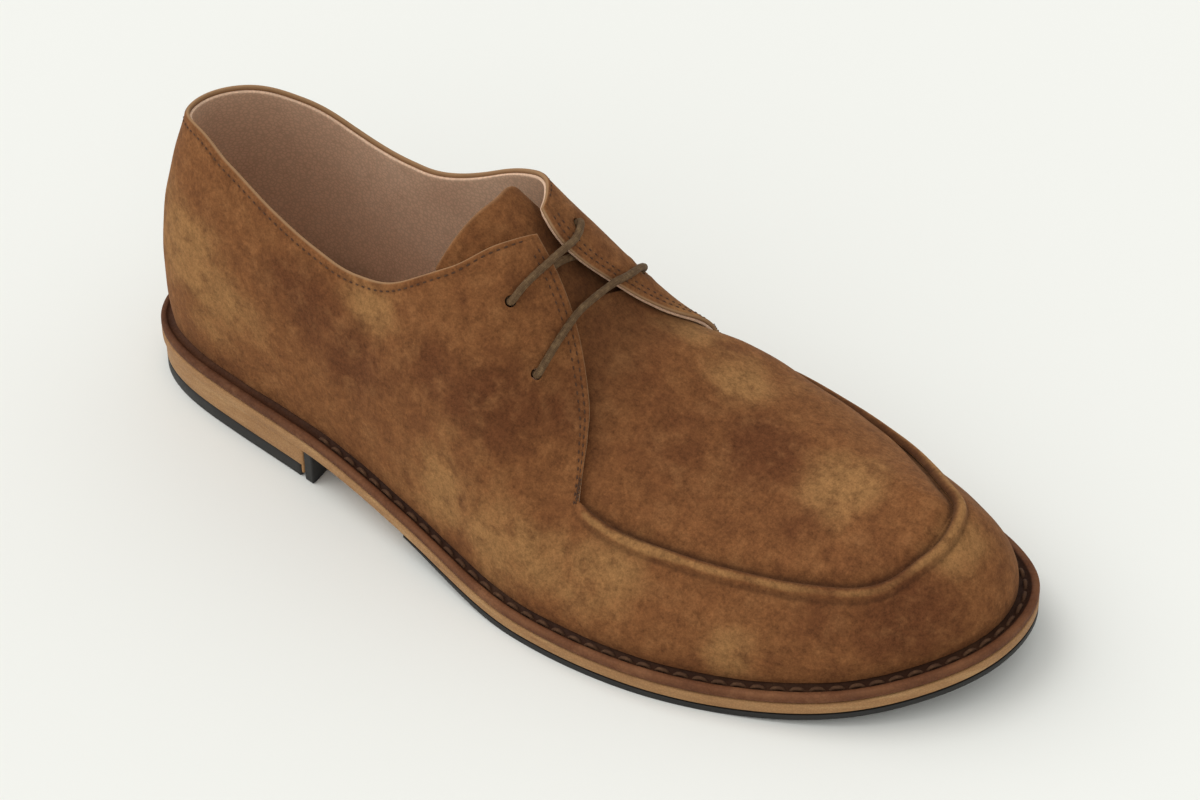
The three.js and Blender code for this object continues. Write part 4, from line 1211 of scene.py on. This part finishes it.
    def line(self, zone: Zone, distance: float, skip: float = 2.0) -> tuple[Array, Array]:
        """A line on the suede at a distance from the top edge, and the normals along it."""
        edge = self.edge
        chosen = (edge.is_in(zone) > 0) & (edge.run > skip) & (edge.run < edge.length - skip)
        distances = np.full((len(edge.top), 1), distance)
        share = edge.shares(distances)
        points, _ = self.dressed(edge, distances, share)
        turn, rise = edge.places(share)
        return points[chosen, 0], LAST.normal(turn, rise)[chosen, 0]

    def stitch_surface(self) -> Surface:
        """Two rows along each facing, one under the collar, and a bar tack at each facing's foot."""
        fine, tack = Seam(2.45, 0.66, 0.25, 0.10), Seam(1.25, 0.7, 0.30, 0.14)
        runs = [fine.surface(*self.line(zone, distance))
                for zone in (Zone.OUTER_FACING, Zone.INNER_FACING) for distance in self.facing_rows]
        runs.append(fine.surface(*self.line(Zone.COLLAR, self.collar_row)))
        for zone, foot in ((Zone.OUTER_FACING, slice(-7, None)), (Zone.INNER_FACING, slice(0, 7))):
            for distance in self.tacks:
                path, normals = self.line(zone, distance, 0.5)
                runs.append(tack.surface(path[foot], normals[foot]))
        return joined(runs)

    def cutter(self) -> bpy.types.Object:
        """Rods along the surface's normal at each eyelet, to cut the holes with."""
        rods = []
        for eyelet in EYELETS.values():
            high, low = LAST.spot(*eyelet, 4.0), LAST.spot(*eyelet, -5.0)
            along = unit(high - low)
            across = unit(np.cross(along, [1.0, 0.0, 0.0]))
            up = np.cross(along, across)
            centres = np.linspace(low, high, 2)[None]
            radii = np.full((1, 2, 2), self.eyelet)
            frames = (np.broadcast_to(axis, (1, 2, 3)) for axis in (across, up))
            rods.append(tube(centres, *frames, radii, 31))
        rod = joined(rods)
        faces = rod.faces if rod.volume() > 0 else rod.faces[:, ::-1]
        mesh = bpy.data.meshes.new("eyelet_punch")
        lists = [[int(k) for k in dict.fromkeys(face.tolist())] for face in faces]
        mesh.from_pydata(((rod.points + ORIGIN) * MM).tolist(), [], lists)
        made = bpy.data.objects.new("eyelet_punch", mesh)
        bpy.context.scene.collection.objects.link(made)
        return made

    def punched(self, piece: bpy.types.Object, punch: bpy.types.Object) -> None:
        """Cuts the eyelets out of a piece for good."""
        cut = piece.modifiers.new("eyelets", "BOOLEAN")
        cut.operation, cut.solver, cut.object = "DIFFERENCE", "EXACT", punch
        bpy.context.view_layer.update()
        graph = bpy.context.evaluated_depsgraph_get()
        finished = bpy.data.meshes.new_from_object(piece.evaluated_get(graph))
        piece.modifiers.remove(cut)
        old, piece.data = piece.data, finished
        bpy.data.meshes.remove(old)
        finished.set_sharp_from_angle(angle=np.radians(50.0))

    def build(self, finishes: dict[str, bpy.types.Material]) -> None:
        """Makes the upper's pieces."""
        side = put("side_suede", self.side_surface(), finishes["suede"], ("upper",))
        lining = put("lining", self.lining_surface(), finishes["lining"], ("upper",))
        put("vamp_suede", self.vamp_surface(), finishes["suede"], ("upper",))
        punch = self.cutter()
        self.punched(side, punch)
        self.punched(lining, punch)
        bpy.data.objects.remove(punch)
        put("upper_stitches", self.stitch_surface(), finishes["thread"])


@dataclass
class Tongue:
    """The tongue under the facings, with a rounded rim."""

    under: float = 5.3
    thickness: float = 1.7
    relief: Relief = field(default_factory=Relief)
    table: Table = Table("ridge outer outer_rise inner inner_rise dip", (
        (0.600, 0.585, 0.760, 0.585, 0.700, 0), (0.570, 0.545, 0.700, 0.560, 0.660, 0),
        (0.530, 0.495, 0.660, 0.530, 0.620, 0), (0.490, 0.445, 0.620, 0.500, 0.620, 0.5),
        (0.462, 0.410, 0.590, 0.480, 0.620, 2.0), (0.446, 0.392, 0.570, 0.462, 0.630, 3.5),
        (0.437, 0.386, 0.565, 0.448, 0.650, 4.5), (0.431, 0.384, 0.570, 0.436, 0.680, 5.0)))

    def surface(self) -> Surface:
        """A sheet across the ridge between two lifts, both bent together within a radius of its rim."""
        last = len(self.table.rows) - 1.0
        tip = last - 0.5 + 0.5 * (1 - np.linspace(1, 0, 14)[1:] ** 2)
        places = np.concatenate([np.linspace(0, last - 0.5, 50), tip])
        even = np.linspace(-1, 1, 81)
        q = np.sign(even) * (1 - (1 - np.abs(even)) ** 1.3)
        column = {name: self.table.by_place(name, places)[:, None] for name in self.table.columns.split()}
        across = np.abs(q)[None, :]
        outer_side = (q < 0)[None, :]
        rounded = (np.hypot(across, 0.2) - 0.2) / (np.hypot(1, 0.2) - 0.2)
        end = np.where(outer_side, angle_of(column["outer"]), angle_of(column["inner"]))
        angle = mix(angle_of(column["ridge"]), end, rounded)
        rise = mix(1.0, np.where(outer_side, column["outer_rise"], column["inner_rise"]), across)
        drop = np.where(outer_side, 0.0, column["dip"] * across**2)
        turn = turn_of(np.where(outer_side, OUTER, INNER), angle)
        base, normal = LAST.point(turn, rise), LAST.normal(turn, rise)
        rim = np.concatenate([base[-1], base[:, 0], base[:, -1]])
        gap = distance_to(base.reshape(-1, 3), rim).reshape(rise.shape)
        half = self.thickness / 2
        fold = half - np.sqrt(np.maximum(half**2 - np.clip(half - gap, 0, half) ** 2, 0))
        free = smooth((0.48 - share_of(angle)) / 0.06)
        wave = self.relief.lift(base) * 0.6 + 0.35 * free * np.sin(angle * 9 + rise * 5)
        outside = base + normal * (-self.under - drop - fold + wave)[..., None]
        inside = base + normal * (-self.under - self.thickness - drop + fold + wave)[..., None]
        made = shell(outside, inside)
        made.masks = {name: on_sheets(grid) for name, grid in self.relief.masks(base).items()}
        under_facing = 0.45 * smooth((share_of(angle) - 0.462) / 0.03) * np.ones_like(rise)
        inner_dark = 0.35 * np.where(outer_side, 0.0, across) * np.ones_like(rise)
        made.masks["shade"] = on_sheets(np.clip(under_facing + inner_dark, 0, 0.8), 0.2)
        worn = 0.35 * bell(gap, 0, 0.7)
        made.masks["edge"] = on_sheets(worn, worn)
        return made

    def build(self, finishes: dict[str, bpy.types.Material]) -> None:
        """Makes the tongue."""
        put("tongue_suede", self.surface(), finishes["suede"], ("tongue",))


# The bottom


def constant(value: float) -> Callable[[Array], Array]:
    """The same value everywhere."""
    return lambda x: np.full(np.shape(x), float(value))


@dataclass
class Slab:
    """A flat piece of the bottom: strips from side to side between two angles, with rounded edges."""

    start: float
    end: float
    inset: Callable[[Array], Array]
    low: Callable[[Array], Array]
    high: Callable[[Array], Array]
    rounding: float = 0.7
    steps: int = 180
    strips: int = 10

    @property
    def cut_start(self) -> bool:
        """Whether it starts with a cut face, short of the heel's back."""
        return self.start > NIL

    @property
    def cut_end(self) -> bool:
        """Whether it ends with a cut face, short of the toe."""
        return self.end < np.pi - NIL

    def stations(self) -> tuple[Array, Array]:
        """The sections' angles, and how far each shrinks to bevel the cut faces."""
        angles = np.linspace(self.start, self.end, self.steps)
        shrink = np.zeros_like(angles)
        before, sunk, apart = np.array([0.45, 0.2, 0.0]), np.array([0.0, 0.12, 0.45]), 1e-4
        if self.cut_end:
            tail = self.end - before / (LAST.length / 2 * np.sin(self.end))
            angles = np.concatenate([angles[angles < tail[0] - apart], tail])
            shrink = np.concatenate([np.zeros(len(angles) - len(sunk)), sunk])
        if self.cut_start:
            head = self.start + before[::-1] / (LAST.length / 2 * np.sin(self.start))
            keep = angles > head[-1] + apart
            angles = np.concatenate([head, angles[keep]])
            shrink = np.concatenate([sunk[::-1], shrink[keep]])
        return angles, shrink

    def surface(self) -> Surface:
        """Sections whose corners follow quarter circles, lofted along the shoe and closed at cut ends."""
        angles, shrink = self.stations()
        corner = np.linspace(0, np.pi / 2, 5)
        inward = self.rounding * np.concatenate([1 - np.sin(corner), 1 - np.cos(corner)])
        upward = self.rounding * np.concatenate([1 - np.cos(corner), np.sin(corner) - 1])
        is_top = np.repeat([0.0, 1.0], len(corner))
        sections = []
        for side in (OUTER, INNER):
            inset = self.inset(angles)[:, None] + inward[None, :] + shrink[:, None]
            plan = LAST.inset_point(turn_of(side, angles)[:, None] * np.ones((1, len(inward))), inset)
            low = self.low(plan[..., 0]) + shrink[:, None]
            high = self.high(plan[..., 0]) - shrink[:, None]
            thin = np.clip((high - low) / (2 * self.rounding), 0, 1)
            z = mix(low, high, is_top[None, :]) + upward * thin
            sections.append(np.concatenate([plan, z[..., None]], axis=-1))
        outer, inner = sections[0], sections[1][:, ::-1]
        t = np.linspace(0, 1, self.strips + 1)[1:-1, None]
        over = outer[:, None, -1] * (1 - t) + inner[:, None, 0] * t
        under = inner[:, None, -1] * (1 - t) + outer[:, None, 0] * t
        loop = np.concatenate([outer, over, inner, under], axis=1)
        rows, columns = loop.shape[:2]
        points = loop.reshape(-1, 3)
        faces = [grid_faces(rows, columns, wrap_columns=True)]
        j = np.arange(columns)
        for row, cut in ((0, self.cut_start), (rows - 1, self.cut_end)):
            if cut:
                hub = np.full(columns, len(points))
                points = np.concatenate([points, loop[row].mean(axis=0)[None]])
                pair = [row * columns + j, row * columns + (j + 1) % columns]
                faces.append(np.stack([*(pair if row == 0 else pair[::-1]), hub, hub], axis=-1))
        return Surface(points, np.concatenate(faces))


@dataclass
class Bottom:
    """Welt, soles, heel and sock."""

    heel_inset: float = 0.8
    strip: float = 1.2
    strip_foot: float = 2.0
    strip_lap: float = 0.6
    block: float = 3.6
    rubber_start: float = 118.0
    skived: float = 0.5
    skive_length: float = 34.0
    sock: float = 4.2
    sock_reach: float = 3.0
    stitch_start: float = 78.0
    stitch_place: float = 0.60
    stitch_depth: float = 0.78
    shoulder: float = 0.6
    rim: tuple[tuple[float, float], ...] = (
        (1.2, 0.0), (0.35, 0.1), (0.06, 0.55), (0.0, 1.3), (0.05, 2.2), (0.25, 2.75), (0.6, 2.98))
    channel: tuple[tuple[float, float], ...] = (
        (0.0, 0.04), (0.12, 0.02), (0.2, -0.3), (0.3, -0.85), (0.45, -1.05), (0.62, -1.05),
        (0.8, -0.9), (0.95, -0.6), (1.2, -0.1), (1.6, 0.0))

    def at(self, x: float) -> float:
        """The angle at a distance from the heel's back."""
        return float(angle_of(x / LAST.length))

    def sole_top(self, x: Array) -> Array:
        """Height of the leather sole's upper face."""
        return LAST.sole_underside(x) + LAST.sole_thickness

    def rubber_top(self, x: Array) -> Array:
        """Height of the rubber's upper face, a gap below the leather."""
        return LAST.sole_underside(x) - LAST.clearance

    def rubber_low(self, x: Array) -> Array:
        """Height of the tread: the rubber thins out towards the waist."""
        share = np.clip((x - self.rubber_start) / self.skive_length, 0, 1)
        return self.rubber_top(x) - mix(self.skived, LAST.rubber_thickness, share)

    def sock_top(self, x: Array) -> Array:
        """Height of the sock."""
        return LAST.welt_underside(x) + self.sock

    def sock_inset(self, angle: Array) -> Array:
        """How far the sock lies inside the outline."""
        return LAST.foot_inset(angle) + self.sock_reach + LAST.clearance

    def welt_surface(self) -> Surface:
        """A ring whose section has a rounded edge, a shallow shoulder and a stitch channel by the upper."""
        turn = np.linspace(-np.pi, np.pi, 901)[1:]
        reach = LAST.foot_inset(np.abs(turn))[:, None]
        rim, channel = np.array(self.rim), np.array(self.channel)
        fore = smooth((LAST.outline_point(turn)[..., 0] - 40) / 60)[:, None]
        groove = self.shoulder + (reach - self.shoulder) * (0.16 + 0.84 * channel[:, 0])
        ripple = 0.06 * np.sin(turn * 61)[:, None] + 0.05 * np.sin(turn * 143 + 1)[:, None]
        dip = channel[:, 1] * mix(0.8, 1.0, fore) + ripple * (channel[:, 0] < 0.15)
        rim = np.broadcast_to(rim, (len(turn), *rim.shape))
        inset = np.concatenate([rim[..., 0], groove, reach + self.sock_reach], axis=1)
        level = np.concatenate([rim[..., 1], LAST.welt_thickness + dip, np.zeros((len(turn), 1))], axis=1)
        plan = LAST.inset_point(turn[:, None] * np.ones_like(inset), inset)
        z = LAST.welt_underside(plan[..., 0]) + level
        points = np.concatenate([plan, z[..., None]], axis=-1)
        shade, worn = np.zeros(inset.shape), np.zeros(inset.shape)
        shade[:, 9:15] = mix(0.55, 0.9, fore)
        shade[:, 7:9] = mix(0.35, 0.12, fore)
        shade[:, 3:7] = mix(0.22, 0.0, fore)
        worn[:, 4:8] = (0.2 + 0.14 * np.sin(turn * 23)[:, None]) * fore
        masks = {"shade": shade.ravel(), "edge": np.clip(worn, 0, 1).ravel()}
        return Surface(points.reshape(-1, 3), grid_faces(*inset.shape, True, True), masks)

    def welt_stitches(self) -> Surface:
        """Coarse dashes in the welt's channel, from the waist round the toe."""
        start = self.at(self.stitch_start)
        turn = np.linspace(start, 2 * np.pi - start, 2400)
        reach = LAST.foot_inset(LAST.halves(turn)[1])
        plan = LAST.inset_point(turn, self.shoulder + (reach - self.shoulder) * self.stitch_place)
        z = LAST.welt_underside(plan[:, 0]) + LAST.welt_thickness - self.stitch_depth
        path = np.concatenate([plan, z[:, None]], axis=-1)
        normals = np.broadcast_to([0.0, 0.0, 1.0], path.shape)
        return Seam(5.7, 0.84, 0.66, 0.36, 8).surface(path, normals)

    def build(self, finishes: dict[str, bpy.types.Material]) -> None:
        """Makes the bottom's pieces."""
        gap, breast = LAST.clearance, LAST.heel_length
        seat, lip = LAST.top_piece + gap, self.at(LAST.heel_length - self.strip)
        heel, ground = constant(self.heel_inset), constant(0)
        leather, rubber = finishes["edge_leather"], finishes["rubber"]
        sole = Slab(0, np.pi, constant(0), LAST.sole_underside, self.sole_top, 0.75)
        tread = Slab(self.at(self.rubber_start), np.pi, constant(0), self.rubber_low, self.rubber_top, 0.24)
        top_piece = Slab(0, self.at(breast - self.strip - gap), heel, ground, constant(LAST.top_piece),
                         0.6, 70)
        lift = Slab(0, self.at(breast), heel, constant(seat), constant(seat + LAST.lift), 0.5, 70)
        strip = Slab(lip, self.at(breast), heel, constant(self.strip_foot), constant(seat + self.strip_lap),
                     0.3, 4)
        block = Slab(self.at(breast + gap), self.at(breast + gap + self.block), heel, ground,
                     self.rubber_top, 0.5, 12)
        sock = Slab(0, np.pi, self.sock_inset, LAST.welt_underside, self.sock_top, 0.6)
        put("welt_strip", self.welt_surface(), finishes["welt"], ("welt",), sharp=60)
        put("welt_stitches", self.welt_stitches(), finishes["welt_thread"])
        put("sole_leather", sole.surface(), leather, ("leather_sole",))
        put("forepart_rubber", tread.surface(), rubber, ("outsole_rubber",))
        put("heel_rubber", top_piece.surface(), rubber, ("heel_top_piece",))
        put("heel_leather", lift.surface(), leather, ("heel_lift",))
        put("heel_strip", strip.surface(), leather, ("heel_lift",))
        put("breast_block", block.surface(), rubber, ("heel_breast_block",))
        put("sock_leather", sock.surface(), finishes["sock"], ("insole",))


# The lace


@dataclass
class Lace:
    """A round cord through the four eyelets, in two bars."""

    radius: float = 1.15
    wall: float = 2.4
    tongue: float = 5.3
    sides: int = 14

    def lifts(self) -> dict[str, float]:
        """How far the cord's centre lies off the last at each level of its route."""
        return {
            "over": PROUD + 0.3 + self.radius,
            "mouth": PROUD + 0.6,
            "middle": PROUD - self.wall / 2,
            "back": PROUD - self.wall - 0.9,
            "under": (PROUD - self.wall - self.tongue) / 2,
        }

    def route(self) -> Array:
        """The route's points, from under the outer top eyelet to under the inner one."""
        def through(name: str, levels: str) -> list[tuple]:
            """The route through an eyelet."""
            return [(*EYELETS[name], level) for level in levels.split()]

        rows = [
            (OUTER, 0.486, 0.678, "under"), (OUTER, 0.497, 0.642, "under"), (OUTER, 0.509, 0.630, "under"),
            (OUTER, 0.517, 0.639, "under"), *through("outer_low", "back middle mouth"),
            (OUTER, 0.526, 0.705, "over"), (OUTER, 0.530, 0.775, "over"), (OUTER, 0.534, 0.845, "over"),
            (OUTER, 0.538, 0.912, "over"), (INNER, 0.5385, 0.870, "over"), (INNER, 0.537, 0.805, "over"),
            (INNER, 0.534, 0.735, "over"), (INNER, 0.530, 0.665, "over"),
            *through("inner_low", "mouth middle back"),
            (INNER, 0.519, 0.605, "under"), (INNER, 0.512, 0.700, "under"), (INNER, 0.508, 0.850, "under"),
            (OUTER, 0.508, 1.0, "under"), (OUTER, 0.506, 0.930, "under"), (OUTER, 0.497, 0.845, "under"),
            (OUTER, 0.487, 0.785, "under"), *through("outer_top", "back middle mouth"),
            (OUTER, 0.483, 0.797, "over"), (OUTER, 0.489, 0.865, "over"), (OUTER, 0.4945, 0.930, "over"),
            (OUTER, 0.498, 0.985, "over"), (INNER, 0.4975, 0.960, "over"), (INNER, 0.495, 0.905, "over"),
            (INNER, 0.490, 0.855, "over"), *through("inner_top", "mouth middle back"),
            (INNER, 0.475, 0.765, "under"), (INNER, 0.467, 0.735, "under"),
        ]
        lifts = self.lifts()
        return np.array([LAST.spot(side, share, rise, lifts[level]) for side, share, rise, level in rows])

    def path(self, steps: int = 9) -> Array:
        """A centripetal Catmull-Rom curve: spans are timed by the square root of their length."""
        p = self.route()
        p = np.concatenate([2 * p[:1] - p[1:2], p, 2 * p[-1:] - p[-2:-1]])
        a, b, c, d = p[:-3], p[1:-2], p[2:-1], p[3:]
        spans = np.sqrt(np.linalg.norm(np.diff(p, axis=0), axis=1, keepdims=True))
        t0, t1, t2 = spans[:-2], spans[1:-1], spans[2:]
        m1 = ((b - a) / t0 - (c - a) / (t0 + t1) + (c - b) / t1) * t1
        m2 = ((c - b) / t1 - (d - b) / (t1 + t2) + (d - c) / t2) * t1
        t = np.linspace(0, 1, steps, endpoint=False)[None, :, None]
        b, c, m1, m2 = (v[:, None, :] for v in (b, c, m1, m2))
        return np.concatenate([hermite(t, b, c, m1, m2).reshape(-1, 3), p[-2:-1]])

    def surface(self) -> Surface:
        """The cord round its path, in frames carried along without twist."""
        path = self.path()
        along = unit(np.gradient(path, axis=0))
        across = [unit(np.cross(along[0], [1.0, 0.2, 0.1]))]
        for here in along[1:]:
            before = across[-1]
            across.append(unit(before - here * (before @ here)))
        across = np.array(across)
        up = np.cross(along, across)
        arcs = arcs_of(path)
        radii = self.radius * (1 + 0.03 * np.sin(arcs * 2.1))[None, :, None] * np.ones((1, 1, 2))
        made = tube(path[None], across[None], up[None], radii, self.sides)
        steps = len(path)
        run = np.concatenate([np.repeat(arcs, self.sides), [0.0, arcs[-1]]]) / LONGEST
        turn = np.concatenate([np.tile(np.arange(self.sides), steps), [0, 0]]) / self.sides
        made.masks = {"run": run, "turn": turn}
        return made

    def build(self, finishes: dict[str, bpy.types.Material]) -> None:
        """Makes the lace."""
        put("lace_cord", self.surface(), finishes["lace"], ("lace",), sharp=80)


# The studio


@dataclass
class Studio:
    """A plain pale floor, soft light and the camera at the photograph's angle."""

    azimuth: float = 29.57
    elevation: float = 38.48
    roll: float = 0.34
    place: tuple[float, float, float] = (626.5, -756.3, 832.7)
    focal: float = 1667.0
    centre: tuple[float, float] = (-50.0, 94.0)
    lens: float = 120.0

    def camera(self) -> None:
        """Stands where the photograph was taken from and turns to the one shoe."""
        a, e, r = np.radians([self.azimuth, self.elevation, self.roll])
        back = np.array([np.sin(a) * np.cos(e), -np.cos(a) * np.cos(e), np.sin(e)])
        right = np.array([np.cos(a), np.sin(a), 0.0])
        up = np.cross(back, right)
        right, up = np.cos(r) * right + np.sin(r) * up, np.cos(r) * up - np.sin(r) * right
        ahead = unit(-back * self.focal + right * self.centre[0] - up * self.centre[1])
        turn = Vector(-back).rotation_difference(Vector(ahead)).to_matrix()
        axes = Matrix((turn @ Vector(right), turn @ Vector(up), -Vector(ahead))).transposed()
        data = bpy.data.cameras.new("camera")
        data.lens, data.sensor_width = self.lens, 36.0
        data.clip_start, data.clip_end = 0.05, 50.0
        made = bpy.data.objects.new("camera", data)
        made.matrix_world = Matrix.Translation((np.array(self.place) + ORIGIN) * MM) @ axes.to_4x4()
        bpy.context.scene.collection.objects.link(made)
        bpy.context.scene.camera = made

    def floor(self) -> None:
        """A wide pale floor."""
        mesh = bpy.data.meshes.new("floor")
        mesh.from_pydata([(-6, -6, 0), (6, -6, 0), (6, 6, 0), (-6, 6, 0)], [], [(0, 1, 2, 3)])
        made = bpy.data.objects.new("floor", mesh)
        bpy.context.scene.collection.objects.link(made)
        material = bpy.data.materials.new("floor")
        material.use_nodes = True
        tree = Tree(material.node_tree)
        shader(tree, (0.86, 0.868, 0.83), 0.6, None, Specular_IOR_Level=0.2)
        mesh.materials.append(material)

    def light(self) -> None:
        """An even sky and one wide soft sun from the upper left."""
        world = bpy.data.worlds.new("studio")
        bpy.context.scene.world = world
        world.use_nodes = True
        tree = Tree(world.node_tree)
        sky = tree.add("ShaderNodeBackground", {"Color": (1.0, 1.0, 0.985, 1), "Strength": 0.72})
        tree.add("ShaderNodeOutputWorld", {"Surface": sky.outputs[0]})
        for name, energy, spread, direction in (("key", 1.08, 55.0, (-0.62, -0.12, 0.80)),
                                                ("fill", 0.35, 70.0, (0.1, -0.8, 0.75))):
            data = bpy.data.lights.new(name, "SUN")
            data.energy, data.angle = energy, np.radians(spread)
            made = bpy.data.objects.new(name, data)
            made.rotation_euler = Vector(direction).to_track_quat("Z", "Y").to_euler()
            bpy.context.scene.collection.objects.link(made)

    def build(self) -> None:
        """Sets the studio up."""
        bpy.context.scene.view_settings.view_transform = "Standard"
        self.camera()
        self.floor()
        self.light()


def finishes_of(effects: Effects) -> dict[str, bpy.types.Material]:
    """All the shoe's finishes, by use."""
    leathers = {
        "lining": Leather("lining_leather", (0.70, 0.475, 0.325), (0.76, 0.54, 0.385), (0.60, 0.385, 0.26),
                          0.6, 700.0, 0.00005, 26.0, specular=0.25),
        "sock": Leather("sock_leather", (0.46, 0.27, 0.175), (0.53, 0.33, 0.22), (0.36, 0.20, 0.13),
                        0.6, 700.0, 0.00005, 30.0, specular=0.25),
        "welt": Leather("welt_leather", (0.135, 0.050, 0.021), (0.24, 0.105, 0.046), (0.075, 0.026, 0.012),
                        0.72, 800.0, 0.00008, 60.0, specular=0.16),
        "edge_leather": Leather("edge_leather", (0.36, 0.19, 0.078), (0.47, 0.28, 0.125),
                                (0.24, 0.115, 0.045), 0.6, 1100.0, 0.00006, 40.0, 7.0, 0.22),
    }
    cords = {
        "thread": Cord("thread", (0.066, 0.028, 0.012), (0.105, 0.050, 0.023), 0.5, 0.85),
        "welt_thread": Cord("welt_thread", (0.070, 0.030, 0.013), (0.13, 0.064, 0.029), 0.9, 0.9),
        "lace": Cord("lace_cord", (0.105, 0.057, 0.023), (0.225, 0.140, 0.064), 1.1, 0.85),
    }
    made = {"suede": Suede().material(effects), "rubber": Rubber().material()}
    made.update({use: leather.material(effects) for use, leather in leathers.items()})
    made.update({use: cord.material() for use, cord in cords.items()})
    return made


def main() -> None:
    """Builds the shoe and its studio."""
    logging.basicConfig(level=logging.INFO, format="%(name)s: %(message)s")
    finishes = finishes_of(Effects())
    for part in (Bottom(), Upper(), Tongue(), Lace()):
        part.build(finishes)
    Studio().build()


if __name__ == "__main__":
    main()
